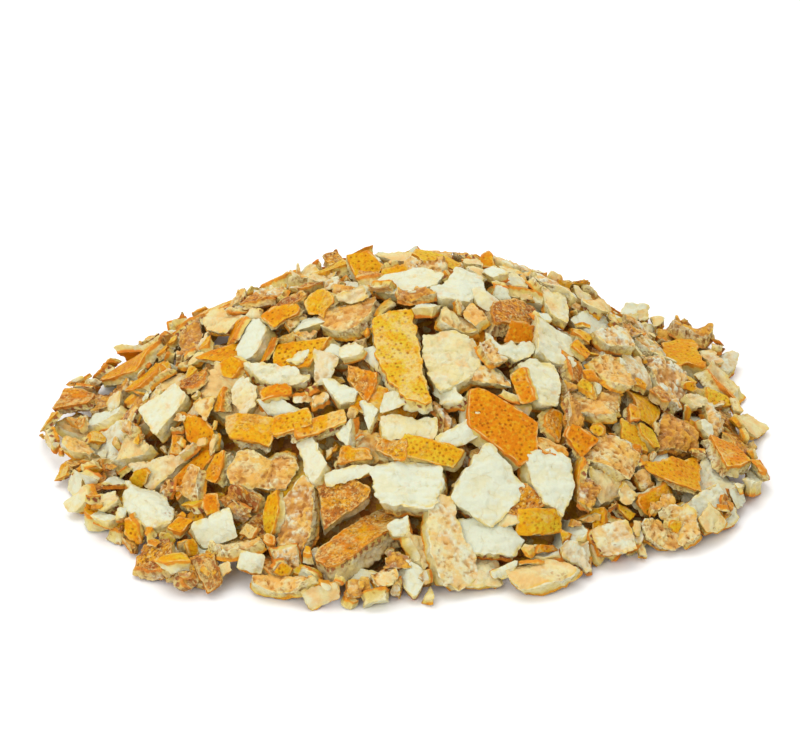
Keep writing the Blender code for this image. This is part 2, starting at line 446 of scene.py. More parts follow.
handLaid = [
    # the crest
    ("zest", -8.8, 20.2, 8, 0, -5, 0.85, 0.15, 2.2, ("block", 6.2, 3.4)),
    ("pith", -10.3, 18.9, -10, 5, 0, 0.7, 0.35, 2.0, ("wedge", 5.8, 3.2)),
    ("pith", -6.0, 17.6, 15, 0, 5, 0.8, 0.5, 2.0, ("wedge", 6.0, 3.0)),
    ("pith", -0.3, 21.8, 0, -20, 0, 0.9, 0.1, 1.8, ("block", 4.2, 2.4)),
    ("zest", 4.3, 21.8, -10, -15, 5, 0.75, 0.1, 2.0, ("block", 5.4, 3.0)),
    ("pith", 11.2, 19.6, 20, -10, 0, 0.8, 0.4, 2.0, ("wedge", 3.4, 2.6)),
    ("pith", 13.4, 18.9, -20, 0, 0, 0.5, 0.1, 1.8, ("block", 3.6, 2.8)),
    ("zest", -4.1, 20.7, 0, -48, 8, 0.38, 0.0, 1.9,
     [(-2.3, 2.3), (0.6, 2.7), (2.3, 0.2), (1.7, -1.1), (-0.2, -2.8), (-1.4, -1.4), (-2.0, 0.4)]),
    ("pith", 0.9, 18.6, 0, 0, 0, 0.25, 0.0, 2.4,
     [(-3.6, 1.3), (-2.4, 2.5), (2.4, 2.8), (4.1, 1.6), (3.6, -1.3), (0.9, -3.2), (-2.1, -2.4),
      (-3.9, -0.6)]),
    ("pith", 7.4, 18.2, 0, 0, 6, 0.15, 0.0, 2.4,
     [(-0.8, 3.8), (2.9, 3.4), (3.0, 0.3), (2.0, -1.1), (0.8, -3.3), (-2.6, -4.0), (-4.7, -2.9),
      (-2.0, 0.0)]),
    # the left shoulder
    ("zest", -13.1, 15.9, 0, 5, -8, 0.3, 0.95, 2.4,
     [(-2.9, 1.3), (-0.3, 2.1), (2.4, 0.9), (3.0, -0.5), (1.2, -1.7), (-1.5, -2.2), (-3.0, -0.9)]),
    ("pith", -17.2, 11.8, 0, 0, -10, 0.05, 0.0, 2.5,
     [(-0.3, 3.2), (1.5, 2.6), (2.3, 0.8), (1.8, -1.9), (0.3, -3.0), (-1.5, -2.6), (-2.3, -0.3),
      (-1.2, 2.2)]),
    ("pith", -6.3, 14.2, 0, 8, 0, 0.95, 0.45, 2.4,
     [(-3.6, 2.0), (0.8, 2.5), (4.2, 2.5), (3.2, -0.3), (1.7, -2.9), (-1.1, -2.6), (-3.2, -0.8)]),
    ("pith", -10.9, 13.1, -20, 10, 0, 0.1, 0.0, 1.8, ("lens", 4.0, 2.6)),
    ("pith", -13.8, 12.9, 30, 0, 0, 0.05, 0.0, 1.4, ("wedge", 2.2, 1.8)),
    ("zest", -11.4, 10.0, 0, 0, 0, 0.5, 0.25, 2.3,
     [(-2.9, 2.4), (1.2, 1.9), (4.2, 1.9), (2.4, -0.6), (1.2, -2.4), (-1.2, -2.1), (-3.3, -0.9)]),
    ("pith", -7.8, 9.8, 20, 5, 0, 0.0, 0.0, 1.6, ("wedge", 3.2, 3.0)),
    ("pith", -11.6, 9.4, -40, 5, 10, 0.1, 0.0, 1.2, ("lens", 3.4, 1.7)),
    ("zest", -4.3, 6.8, 0, -8, -5, 0.25, 0.6, 2.2,
     [(-1.8, 2.7), (0.0, 1.9), (2.0, 1.1), (1.8, -1.1), (0.6, -2.8), (-0.8, -1.1), (-1.7, 0.3)]),
    ("pith", -6.6, 5.9, -25, 0, 12, 0.0, 0.05, 1.8,
     [(-1.9, 2.2), (-0.4, 1.3), (1.9, -1.3), (0.5, -2.6), (-1.4, -2.0), (-1.8, 0.2)]),
    ("pith", -14.4, 7.3, 0, -12, 0, 0.35, 0.15, 1.9,
     [(-4.3, 2.5), (-0.6, 1.6), (2.4, 0.2), (4.4, -1.1), (3.9, -1.9), (0.9, -1.9), (-1.5, -0.9),
      (-3.0, 0.6)]),
    ("pith", -18.2, 5.4, 0, -5, -10, 0.4, 0.25, 2.0,
     [(-1.6, 1.4), (-0.2, 2.9), (1.9, 0.2), (1.8, -2.6), (-0.1, -2.9), (-1.3, -0.8)]),
    ("zest", -20.3, 5.0, 70, 0, -15, 0.3, 0.4, 1.8, ("wedge", 4.5, 2.4)),
    ("pith", -13.5, 4.1, 24, -25, 0, 0.15, 0.0, 1.1, ("lens", 7.0, 2.4)),
    ("zest", -12.5, 2.6, 8, 0, 0, 0.55, 0.35, 2.0, ("block", 5.0, 2.9)),
    ("zest", -17.9, 0.9, -12, 0, -8, 0.55, 0.45, 2.2, ("block", 6.0, 3.8)),
    ("zest", -9.3, 1.3, 13, 12, 0, 0.45, 0.0, 2.0, ("block", 5.8, 2.1)),
    # the middle
    ("pith", 6.6, 13.4, 5, 0, 0, 0.75, 0.3, 2.0, ("wedge", 5.0, 2.8)),
    ("pith", 10.5, 16.5, 20, 0, 0, 0.45, 0.1, 2.0, ("block", 4.6, 3.6)),
    ("zest", 13.0, 14.7, 0, 0, 5, 0.55, 0.75, 2.6,
     [(-3.2, 0.3), (-0.2, 2.9), (2.9, 3.5), (3.6, 1.4), (2.9, -1.9), (-0.2, -2.9), (-2.6, -3.6),
      (-3.2, -1.8)]),
    ("pith", 6.0, 8.8, 0, 0, -4, 0.6, 0.05, 2.7,
     [(-3.3, 3.4), (-0.3, 4.2), (2.1, 3.8), (3.6, 1.6), (3.6, -0.6), (1.8, -2.7), (-1.2, -4.2),
      (-2.7, -2.0), (-3.5, 0.8)]),
    ("pith", 10.6, 7.2, 10, 0, 0, 0.6, 0.15, 2.0, ("wedge", 4.8, 2.8)),
    ("pith", 12.8, 10.5, 5, -5, 0, 0.3, 0.1, 2.0,
     [(-3.1, 1.2), (-1.2, 0.7), (0.6, 1.3), (3.1, 1.4), (2.3, -0.2), (1.0, -1.5), (-1.4, -1.5),
      (-2.6, -0.3)]),
    ("pith", 18.0, 11.2, 0, 0, 8, 0.4, 0.05, 2.4, ("block", 5.4, 5.6)),
    ("pith", -0.3, 4.5, -12, 0, 0, 0.3, 0.0, 1.8, ("wedge", 5.0, 3.0)),
    ("pith", -3.0, 9.6, 65, 0, -15, 0.2, 0.0, 1.6, ("shard", 4.6, 3.0)),
    ("zest", 0.4, 9.8, 0, 6, 0, 0.82, 0.05, 2.2,
     [(-1.7, 7.2), (1.4, 7.2), (2.1, 4.2), (2.4, -0.2), (2.9, -3.5), (3.6, -6.8), (2.3, -7.4),
      (-0.2, -5.9), (-1.8, -4.0), (-2.4, -1.6), (-3.5, 2.4), (-3.5, 5.7)]),
    ("pith", 6.0, 5.0, 30, 5, -20, 0.35, 0.05, 1.8, ("lens", 4.6, 2.6)),
    ("pith", 1.3, 1.5, 2, 5, 0, 0.5, 0.05, 2.0, ("block", 6.8, 3.2)),
    ("pith", -3.2, 2.8, 80, 0, -10, 0.1, 0.05, 1.8, ("shard", 4.8, 2.6)),
    ("zest", -1.1, -1.0, -15, 0, 0, 0.3, 0.6, 2.0, ("block", 4.0, 2.4)),
    ("zest", -5.2, -1.6, 0, 5, 5, 0.4, 0.45, 2.0, ("wedge", 4.8, 3.2)),
    ("zest", 3.9, -1.2, -18, -10, 0, 0.7, 0.25, 2.0, ("block", 6.6, 2.8)),
    # the right side
    ("pith", 15.8, 6.8, 0, 0, 0, 0.35, 0.05, 2.6,
     [(-2.7, 2.1), (-0.6, 3.2), (1.8, 2.4), (2.9, -0.9), (2.4, -2.8), (0.0, -3.2), (-2.1, -0.9)]),
    ("zest", 20.0, 7.9, 10, 0, 10, 0.1, 0.6, 2.0, ("block", 3.6, 3.4)),
    ("zest", 17.3, 2.6, 70, 0, 12, 0.35, 0.55, 2.0, ("wedge", 4.8, 3.8)),
    ("pith", 20.2, 3.0, 80, 0, 12, 0.9, 0.95, 2.0, ("block", 6.0, 3.0)),
    ("zest", 17.3, -1.0, -15, 10, 0, 0.2, 0.5, 2.0, ("block", 5.0, 2.2)),
    ("zest", 11.4, 2.1, 0, 0, 0, 0.1, 0.0, 2.6,
     [(-3.9, 4.5), (-2.2, 4.7), (4.5, 0.8), (4.1, -3.0), (2.2, -5.1), (-4.2, -0.5)]),
    ("pith", 7.0, 0.2, -38, 0, 0, 0.05, 0.05, 2.0, ("block", 6.2, 2.2)),
    ("zest", 14.0, -7.0, 40, 0, 0, 0.2, 0.8, 2.2, ("block", 4.4, 3.4)),
    ("pith", 12.6, -9.4, -10, 5, 0, 0.7, 0.15, 2.0, ("wedge", 5.0, 2.8)),
    ("zest", 16.2, -9.4, 4, -20, 0, 0.75, 0.3, 2.2, ("block", 5.0, 3.2)),
    ("pith", 1.2, -5.1, 0, 10, 0, 0.1, 0.0, 2.8,
     [(-3.9, 3.0), (3.8, 2.8), (4.1, 0.2), (2.9, -3.2), (-3.3, -2.5), (-4.2, 1.5)]),
    ("pith", 17.0, -4.6, 0, 0, 0, 0.1, 0.0, 2.5,
     [(-3.2, 3.0), (0.0, 3.9), (2.7, 2.7), (3.0, -1.5), (1.5, -4.4), (-0.9, -3.0), (-2.7, 0.0)]),
    ("pith", 9.8, -5.4, 0, 0, 0, 0.05, 0.0, 2.6,
     [(0.3, 5.3), (4.4, 0.4), (3.3, -1.8), (0.6, -5.2), (-4.7, -1.6), (-3.0, 1.4)]),
    # the foot
    ("pith", -16.2, -3.1, 12, 0, -6, 0.75, 0.35, 2.4, ("block", 7.2, 4.6)),
    ("zest", -17.9, -7.0, -20, 0, -8, 0.2, 0.85, 2.2, ("wedge", 4.8, 3.6)),
    ("zest", -20.4, -2.5, 60, 0, -15, 0.3, 0.4, 2.0, ("wedge", 4.6, 3.0)),
    ("pith", -10.2, -1.6, 62, 0, -20, 0.3, 0.2, 1.9, ("block", 6.8, 2.4)),
    ("zest", -14.4, -8.8, 78, 0, -35, 0.6, 0.15, 2.0, ("lens", 6.0, 2.6)),
    ("zest", -6.7, -7.0, 0, 5, 0, 0.3, 0.7, 2.4,
     [(-3.6, 3.0), (-3.0, 3.3), (0.0, 3.0), (3.6, 1.1), (3.3, -0.3), (0.6, -2.2), (-2.1, -4.3),
      (-2.7, 0.0)]),
    ("pith", -6.3, -4.3, -14, 18, 0, 0.3, 0.1, 1.4, ("wedge", 6.6, 2.0)),
    ("pith", -11.7, -9.5, 0, 0, -14, 0.35, 0.5, 2.4,
     [(0.8, 5.3), (2.0, 4.8), (2.4, 1.5), (2.0, -2.2), (-0.2, -4.4), (-2.3, -4.0), (-2.7, -1.5),
      (-1.4, 2.6)]),
    ("pith", 1.9, -13.0, 75, 0, 20, 0.7, 0.2, 2.0, ("wedge", 5.4, 3.4)),
    ("zest", -4.4, -11.4, 44, 30, 0, 0.3, 0.62, 3.9,
     [(-6.2, -1.9), (-5.6, 1.7), (0.5, 2.6), (5.4, 2.4), (6.4, 0.2), (5.4, -2.1), (0.0, -2.4),
      (-5.2, -2.6)]),
    ("pith", 8.6, -15.2, -10, 5, 0, 0.65, 0.2, 2.0, ("block", 5.0, 3.6)),
    ("pith", 5.2, -12.6, 0, 0, 10, 0.5, 0.1, 2.4,
     [(-1.1, 6.0), (0.6, 5.0), (1.2, 1.5), (3.2, -2.2), (2.9, -4.8), (1.1, -5.8), (-0.8, -5.2),
      (-2.3, -1.5), (-2.6, 2.2), (-2.0, 5.0)]),
    ("pith", 9.9, -12.0, -4, 8, 0, 0.0, 0.0, 2.0,
     [(-4.9, 0.0), (-3.2, 2.4), (2.0, 2.5), (4.5, -0.5), (3.2, -2.5), (-3.2, -1.6)]),
    ("zest", -1.4, -15.0, -20, 5, 0, 0.4, 0.5, 2.0, ("wedge", 4.4, 2.8)),
    ("pith", -3.4, -16.4, 20, 0, 0, 0.3, 0.05, 2.0, ("block", 3.8, 2.8)),
    ("pith", 1.2, -16.2, 40, -10, 0, 0.1, 0.0, 2.2, ("block", 3.2, 3.0)),
    ("zest", -10.8, -15.4, -15, 0, 0, 0.8, 0.1, 1.2, ("wedge", 3.8, 1.9)),
]


def seatInView(x, up):
    # The front-most spot on the heap that shows at this place in the front view
    column = gridIndex(np.array([x]), np.array([0.0]))[1][0]
    angle = frontView["elevation"]
    shown = along * math.sin(angle) + smoothTop[:, column] * math.cos(angle)
    crest = np.argmax(np.where(smoothTop[:, column] > 0.3 * mm, shown, -1))
    row = np.argmax(shown[:crest] >= up) if np.any(shown[:crest] >= up) else crest
    return np.array([[x, along[row]]])


def handLaidChip(row, draw):
    side, x, up, turn, lean, tip, tone, browned, thickness, outline = row
    if isinstance(outline, tuple):
        form, length, width = outline
        corners = drawnCorners(draw, form, length * mm, width * mm)
    else:
        corners = np.array(outline, float) * mm
    flatter = 1.0 if isinstance(outline, tuple) else 0.25
    chip = newChip(draw, corners, side, tone, browned, thickness * 0.85 * mm, flatter)
    if not isinstance(outline, tuple):
        chip["taper"] *= 0.35
    if thickness > 3:
        chip["seed"] = 70 + chip["seed"] / 5  # a thick chip shows its cut glands
    elif (browned > 0.3) if isinstance(outline, tuple) else (0.4 < browned < 0.5):
        tear(chip, 0.75)
    if side == "zest":
        chip["spread"] = max(abs(chip["spread"]), 0.25 * mm)  # its pith shows as a pale rim
    chip["spot"] = seatInView(x * mm, up * mm)
    chip["crest"] = up * mm > frontView["crest"]
    back, roll = math.radians(-lean), math.radians(tip)
    tilt, way = np.array([math.hypot(back, roll)]), np.array([math.atan2(roll, back)])
    yaw = np.array([math.radians(turn) * (-1 if side == "pith" else 1)])
    chip["frames"] = turns(normalsAt(*chip["spot"].T), tilt, way, yaw, side == "pith")
    return chip


def reserve(chips):
    # Lowers the beds where the listed chips will come to lie, and the heap just behind the crest
    room = heapTop.copy()
    free = (heapTop > 0).astype(float)
    taken = np.zeros(heapTop.shape)
    lowTop = heapTop.copy()
    for chip in chips:
        cloud = feelers(chip, cell * 0.85) @ chip["frames"][0].T
        x, y = cloud[:, 0] + chip["spot"][0, 0], cloud[:, 1] + chip["spot"][0, 1]
        index = gridIndex(x, y)
        floor = smoothTop[index] - chip["thickness"] - frontView["clearance"]
        np.minimum.at(room, index, floor)
        free[index] = 0
        taken[index] = mm
        for back in frontView["behindCrest"] if chip["crest"] else ():
            index = gridIndex(x, y + back * mm)
            np.minimum.at(room, index, smoothTop[index] - frontView["lowBehind"])
            np.minimum.at(lowTop, index, smoothTop[index] - frontView["lowBehind"])
    return room, free, taken, lowTop


def layByHand(chip):
    cloud = feelers(chip, chipMaking["cloudStep"])
    world, index, _, rise = dropped(cloud, chip["spot"], chip["frames"], frontView["soft"])
    over = np.mean(world[0, :, 2] - smoothTop[index][0]) - frontView["proud"] + chip["thickness"] / 2
    lowest = 0.05 * mm - np.min(world[0, :, 2] - rise[0])
    settle(chip, chip["spot"][0], chip["frames"][0], max(rise[0] - max(over, 0), lowest))


heapChips = []
draw = random.Random(heapPlan["seed"])
lots = np.random.default_rng(heapPlan["seed"])
handChips = [handLaidChip(row, random.Random(n)) for n, row in enumerate(handLaid)]
room, free, taken, lowTop = reserve(handChips)


def gapUnder(target):
    return np.mean(np.maximum(target - laidTop, 0)[heapTop > 0])


def report(stage):
    print(stage, len(heapChips), "chips so far, mean gap", round(gapUnder(heapTop) / mm, 2), "mm, top",
          round(laidTop.max() / mm, 1), "mm")


# Layers from the inside out: how deep each lies under the heap's top, the mean gap at which it is full, the
# most chips it takes and their size, how many of them stand steeply, how far the others tilt, how many of a
# chip's points stay clear of what it rests on, and how strongly it avoids the places of the listed chips
layers = {
    "deep bed": {"under": 4.6 * mm, "gapLeft": 0.25 * mm, "most": 140, "size": "large",
                 "steep": 0, "tilt": 20, "soft": 0.55, "keepOff": 0},
    "bed": {"under": 2.4 * mm, "gapLeft": 0.22 * mm, "most": 230, "size": "large",
            "steep": 0, "tilt": 24, "soft": 0.6, "keepOff": 0},
    "surface": {"under": 0, "gapLeft": 0.5 * mm, "most": 230, "size": "large",
                "steep": 0.16, "tilt": 28, "soft": 0.92, "keepOff": 9},
    "filling": {"under": 0, "gapLeft": 0.2 * mm, "most": 260, "size": "small",
                "steep": 0.1, "tilt": 50, "soft": 0.8, "keepOff": 0},
    "bits": {"under": 0.3 * mm, "gapLeft": 0.025 * mm, "most": 400, "size": "small",
             "steep": 0.1, "tilt": 60, "soft": 0.82, "keepOff": 3},
    "broken bits": {"under": 0, "gapLeft": 0.015 * mm, "most": 300, "size": "tiny",
                    "steep": 0.2, "tilt": 60, "soft": 0.82, "keepOff": 6},
}


def layLayer(name, ceiling, weight):
    layer = layers[name]
    target = np.maximum(ceiling - layer["under"], 0) if layer["under"] else ceiling
    deep = layer["under"] > 2 * mm
    for _ in range(layer["most"]):
        if gapUnder(target) < layer["gapLeft"]:
            break
        steep = draw.random() < layer["steep"]
        tilt = math.radians(draw.uniform(40, 80) if steep else draw.uniform(0, layer["tilt"]))
        chip = looseChip(draw, layer["size"], deep)
        layFreely(chip, target, weight, tilt, layer["soft"], layer["keepOff"])
    report(name + ":")


wholeHeap = (heapTop > 0).astype(float)
layLayer("deep bed", room, wholeHeap)
layLayer("bed", room, wholeHeap)
layLayer("surface", room, free)
layLayer("filling", room, wholeHeap)
for chip in handChips:
    layByHand(chip)
report("laid by hand:")
layLayer("bits", lowTop, free)
layLayer("broken bits", lowTop, free)


# Meshes of the chips

meshing = {
    "fine": 0.24 * mm,          # spacing of the points, for chips that show well, less well and hardly
    "middle": 0.42 * mm,
    "coarse": 0.75 * mm,
    "fineFrom": 18,             # feeling points that show
    "middleFrom": 6,
    "glandsFrom": 8,
    "leastShown": 0.015,        # chips that show less are left out
    "nearTop": 0.35 * mm,       # a point this near the heap's top shows
    "glandDepth": 0.1 * mm,
    "glandRings": (0.13 * mm, 0.26 * mm),
    "glandStray": 0.2,          # how far a gland lies out of the regular pattern, in millimetres
    "glandClear": 0.38 * mm,
    "betweenGlands": 0.36 * mm,
    "waist": 0.1 * mm,          # how far the cut side is hollowed
    "cutRoughness": 0.13 * mm,
}


def visibleShare(chip):
    cloud = chip["cloud"]
    top = laidTop[gridIndex(cloud[:, 0], cloud[:, 1])]
    return np.mean(cloud[:, 2] > top - meshing["nearTop"])


def glandPoints(loop, pitch, lots):
    centres = lattice(loop, pitch)
    stray = meshing["glandStray"]
    centres = centres + lots.uniform(-stray, stray, centres.shape) * mm
    centres = centres[inside(centres, loop, 0.3 * mm)]
    rings = []
    for turn, radius in zip((0, math.pi / 6), meshing["glandRings"]):
        angles = turn + np.arange(6) * math.tau / 6
        ring = np.column_stack([np.cos(angles), np.sin(angles)]) * radius
        rings.append((centres[:, None] + ring).reshape(-1, 2))
    between = lattice(loop, meshing["betweenGlands"])
    if len(centres):
        between = between[nearest(between, centres) > meshing["glandClear"]]
    strength = lots.uniform(0.25, 1, len(centres))
    points = np.vstack([centres, *rings, between])
    flat = np.zeros(len(points) - 7 * len(centres))
    gland = np.concatenate([strength, np.repeat(strength, 6) * 0.45, flat])
    kept = inside(points, loop, 0.16 * mm)
    return points[kept], gland[kept]


def fillOutline(loop, points):
    corners = [Vector(p) for p in np.vstack([loop, points]) / mm]
    result = delaunay_2d_cdt(corners, [], [list(range(len(loop)))], 1, 1e-6)
    if len(result[0]) != len(corners):
        return None
    order = np.zeros(len(corners), int)
    for made, sources in enumerate(result[3]):
        order[made] = sources[0]
    faces = order[np.array(result[2])]
    spots = np.vstack([loop, points])
    one, two, three = spots[faces[:, 0]], spots[faces[:, 1]], spots[faces[:, 2]]
    turned = (two - one)[:, 0] * (three - one)[:, 1] - (two - one)[:, 1] * (three - one)[:, 0]
    faces[turned < 0] = faces[turned < 0][:, ::-1]
    return faces


def chipMesh(chip, lots):
    size = chip["shown"] * len(chip["cloud"])
    fine = meshing["coarse"]
    if size > meshing["fineFrom"]:
        fine = meshing["fine"]
    elif size > meshing["middleFrom"]:
        fine = meshing["middle"]
    half = chip["thickness"] / 2
    zestUp = chip["side"] == "zest"
    lip = min(chipMaking["lip"], half * 0.3)
    for ragged, share in ((1, 1), (1, 0.4), (0.5, 0.4), (0.3, 0), (0, 0)):  # until no outline crosses itself
        loop = raggedLoop(chip, fine, chip["ragged"] * ragged)
        spread = min(chip["spread"], 0.12 * np.ptp(loop[:, 1])) * share
        normal = outward((np.roll(loop, 1, axis=0) + loop * 2 + np.roll(loop, -1, axis=0)) / 4)
        zestLoop = loop - normal * (lip + spread / 2)
        pithLoop = loop - normal * (lip - spread / 2)
        if zestUp and size > meshing["glandsFrom"]:
            zestPoints, gland = glandPoints(zestLoop, chip["glandPitch"], lots)
        else:
            zestPoints = lattice(zestLoop, meshing["coarse"])
            zestPoints = zestPoints[inside(zestPoints, zestLoop, fine * 0.6)]
            gland = np.zeros(len(zestPoints))
        pithPoints = lattice(pithLoop, meshing["coarse"] if zestUp else fine)
        pithPoints = pithPoints[inside(pithPoints, pithLoop, fine * 0.6)]
        zestFaces = fillOutline(zestLoop, zestPoints)
        pithFaces = fillOutline(pithLoop, pithPoints)
        if zestFaces is not None and pithFaces is not None:
            break
    else:
        return None
    count = len(loop)
    rim = max(2, int(2 * half / (fine * 1.15)))
    levels = np.concatenate([[half], np.linspace(half - lip, lip - half, rim), [-half]])
    left = 1 - thinning(chip, loop, 0)
    rows, depth = [], []
    for level, z in enumerate(levels):
        share = (half - z) / (2 * half)
        inset = np.full(count, meshing["waist"] * math.sin(math.pi * share) - spread * (share - 0.5))
        if level in (0, len(levels) - 1):
            inset += lip
        else:
            cut = np.column_stack([loop, np.full(count, z * 2)])
            inset += meshing["cutRoughness"] * softNoise(cut, 0.7 * mm, chip["seed"] + 5)
        row = loop - normal * inset[:, None] + chip["slant"] * (share - 0.5)
        rows.append(np.column_stack([row, half - (half - z) * left]))
        depth.append((half - z) * left)
    flat = np.vstack(rows)
    zestAt = np.column_stack([zestPoints, np.full(len(zestPoints), half)])
    zestAt[:, :2] -= chip["slant"] * 0.5
    zestAt[:, 2] -= gland * meshing["glandDepth"] * chip["glands"]
    pithDepth = 2 * half * (1 - thinning(chip, pithPoints, nearest(pithPoints, loop)))
    pithAt = np.column_stack([pithPoints, half - pithDepth])
    pithAt[:, :2] += chip["slant"] * 0.5
    flat = np.vstack([flat, zestAt, pithAt])
    zestStart = count * len(levels)
    pithStart = zestStart + len(zestPoints)
    lastRow = count * (len(levels) - 1)
    upper = np.where(zestFaces < count, zestFaces, zestFaces - count + zestStart)
    lower = np.where(pithFaces < count, pithFaces + lastRow, pithFaces - count + pithStart)[:, ::-1]
    k = np.arange(count)
    after = (k + 1) % count
    sides = []
    for row in range(len(levels) - 1):
        a, b = row * count + k, row * count + after
        c, d = b + count, a + count
        sides += [np.column_stack([a, d, c]), np.column_stack([a, c, b])]
    faces = np.vstack([upper, *sides, lower])
    kinds = np.repeat([2, 1, 0], [len(upper), 2 * lastRow, len(lower)])
    depths = np.concatenate([*depth, np.zeros(len(zestPoints)), pithDepth])
    glands = np.concatenate([np.zeros(zestStart), gland * chip["glands"], np.zeros(len(pithPoints))])
    step = np.linalg.norm(np.roll(loop, -1, axis=0) - loop, axis=1)
    run = np.concatenate([[0], np.cumsum(step)[:-1]])
    inner = np.vstack([zestPoints, pithPoints])
    edge = np.concatenate([np.zeros(zestStart), nearest(inner, loop)])
    runs = np.concatenate([np.tile(run, len(levels)), np.zeros(len(inner))])
    return {
        "flat": flat,
        "points": bendPoints(chip, flat) @ chip["turn"].T + chip["place"],
        "faces": faces,
        "kinds": kinds,  # 2 zest, 1 cut side, 0 pith
        "depth": depths,
        "gland": glands,
        "edge": edge,
        "run": runs,
        "perimeter": run[-1] + step[-1],
        "rim": (count, len(levels)),
    }


atlasPlan = {
    "gap": 0.35 * mm,    # between the islands
    "hidden": 0.4,       # scale of a chip's lower side, of its cut side, and of a chip that hardly shows
    "cut": 0.8,
    "faint": 0.35,
    "faintBelow": 0.06,  # share of it that shows
    "slack": 1.08,
}


def atlas(chips):
    # Places for every chip's two sides and its cut side on one square map
    gap = atlasPlan["gap"]
    islands = []
    for n, chip in enumerate(chips):
        size = np.ptp(chip["mesh"]["flat"][:, :2], axis=0)
        zoom = 1.0 if chip["shown"] > atlasPlan["faintBelow"] else atlasPlan["faint"]
        zest, pith = (1.0, atlasPlan["hidden"]) if chip["side"] == "zest" else (atlasPlan["hidden"], 1.0)
        islands.append((n, 2, size, zoom * zest))
        islands.append((n, 0, size, zoom * pith))
        cut = np.array([chip["mesh"]["perimeter"], chip["thickness"]])
        islands.append((n, 1, cut, zoom * atlasPlan["cut"]))
    islands.sort(key=lambda item: -item[2][1] * item[3])
    area = sum((s[0] * z + gap) * (s[1] * z + gap) for _, _, s, z in islands)
    width = math.sqrt(area) * atlasPlan["slack"]
    width = max(width, max(s[0] * z + gap for _, _, s, z in islands))
    x = y = shelf = 0.0
    places = {}
    for n, kind, size, zoom in islands:
        w, h = size * zoom + gap
        if x + w > width:
            x = 0.0
            y += shelf
            shelf = 0.0
        places[n, kind] = (x + gap / 2, y + gap / 2, zoom)
        x += w
        shelf = max(shelf, h)
    return places, max(width, y + shelf)


def joinChips(name, chips):
    places, extent = atlas(chips)
    points, faces, kinds, uvs = [], [], [], []
    labels = ("Place", "Look", "Depth", "Gland", "Edge", "Run", "Pith", "Crumbly")
    fields = {"peel" + label: [] for label in labels}
    start = 0
    for n, chip in enumerate(chips):
        part = chip["mesh"]
        count = len(part["points"])
        points.append(part["points"])
        faces.append(part["faces"] + start)
        kinds.append(part["kinds"])
        fields["peelPlace"].append(part["flat"] + np.array([0.031, 0.017, 0.011]) * chip["seed"])
        fields["peelLook"].append(np.tile([chip["tone"], chip["browned"], chip["seed"] / 90], (count, 1)))
        fields["peelDepth"].append(part["depth"] / mm)
        fields["peelGland"].append(part["gland"])
        fields["peelEdge"].append(part["edge"] / mm)
        fields["peelRun"].append(part["run"] / mm)
        fields["peelPith"].append(part["depth"] / chip["thickness"] * chip["lumpy"])
        crumbly = np.clip(part["depth"] / (0.5 * mm), 0, 1) * (0.1 + 0.9 * chip["crumbly"])  # zest isn't
        fields["peelCrumbly"].append(crumbly)
        low = part["flat"][:, :2].min(axis=0)
        flat = part["flat"][part["faces"]]
        run = part["run"][part["faces"]]
        wraps = np.ptp(run, axis=1) > part["perimeter"] / 2
        run = np.where(wraps[:, None] & (run < part["perimeter"] / 2), run + part["perimeter"], run)
        uv = flat[..., :2] - low
        rim = part["kinds"] == 1
        uv[rim] = np.stack([run[rim], flat[rim][..., 2] + chip["thickness"] / 2], axis=2)
        for kind in (0, 1, 2):
            x, y, zoom = places[n, kind]
            chosen = part["kinds"] == kind
            uv[chosen] = uv[chosen] * zoom + np.array([x, y])
        uvs.append(uv.reshape(-1, 2) / extent)
        start += count
    mesh = bpy.data.meshes.new(name)
    mesh.from_pydata(np.vstack(points).tolist(), [], np.vstack(faces).tolist())
    mesh.uv_layers.new(name="OFBake")
    mesh.uv_layers["OFBake"].data.foreach_set("uv", np.vstack(uvs).astype(np.float32).ravel())
    for key, parts in fields.items():
        values = np.vstack(parts) if parts[0].ndim == 2 else np.concatenate(parts)
        kind, field = ("FLOAT_VECTOR", "vector") if values.ndim == 2 else ("FLOAT", "value")
        attribute = mesh.attributes.new(key, kind, "POINT")
        attribute.data.foreach_set(field, values.astype(np.float32).ravel())
    attribute = mesh.attributes.new("peelFace", "INT", "FACE")
    attribute.data.foreach_set("value", np.concatenate(kinds).astype(np.int32))
    return linked(name, mesh)


def rolledOff(chip):
    # Whether a chip lies too far past the heap's box
    low, high = chip["cloud"].min(axis=0)[:2], chip["cloud"].max(axis=0)[:2]
    past = max(*(np.array(cadBox[0])[:2] - low), *(high - np.array(cadBox[1])[:2]))
    return past > heapPlan["pastFoot"]


for chip in heapChips:
    chip["shown"] = visibleShare(chip)
shownChips = [chip for chip in heapChips if chip["shown"] > meshing["leastShown"] and not rolledOff(chip)]
print("left out past the foot:", sum(rolledOff(chip) for chip in heapChips))
for chip in shownChips:
    chip["mesh"] = chipMesh(chip, lots)
shownChips = [chip for chip in shownChips if chip["mesh"]]
triangles = sum(len(chip["mesh"]["faces"]) for chip in shownChips)
print("chips meshed:", len(shownChips), "of", len(heapChips), "triangles", triangles)


# Node trees. Sizes are in metres, and a value is a number or the output of another node.

socketKinds = {"Geometry": "NodeSocketGeometry", "Place": "NodeSocketVector", "Seed": "NodeSocketInt"}


def addNode(tree, kind, inputs=None, **settings):
    node = tree.nodes.new(kind)
    for key, value in settings.items():
        setattr(node, key, value)
    for key, value in (inputs or {}).items():
        if isinstance(value, bpy.types.NodeSocket):
            tree.links.new(value, node.inputs[key])
        else:
            node.inputs[key].default_value = value
    return node


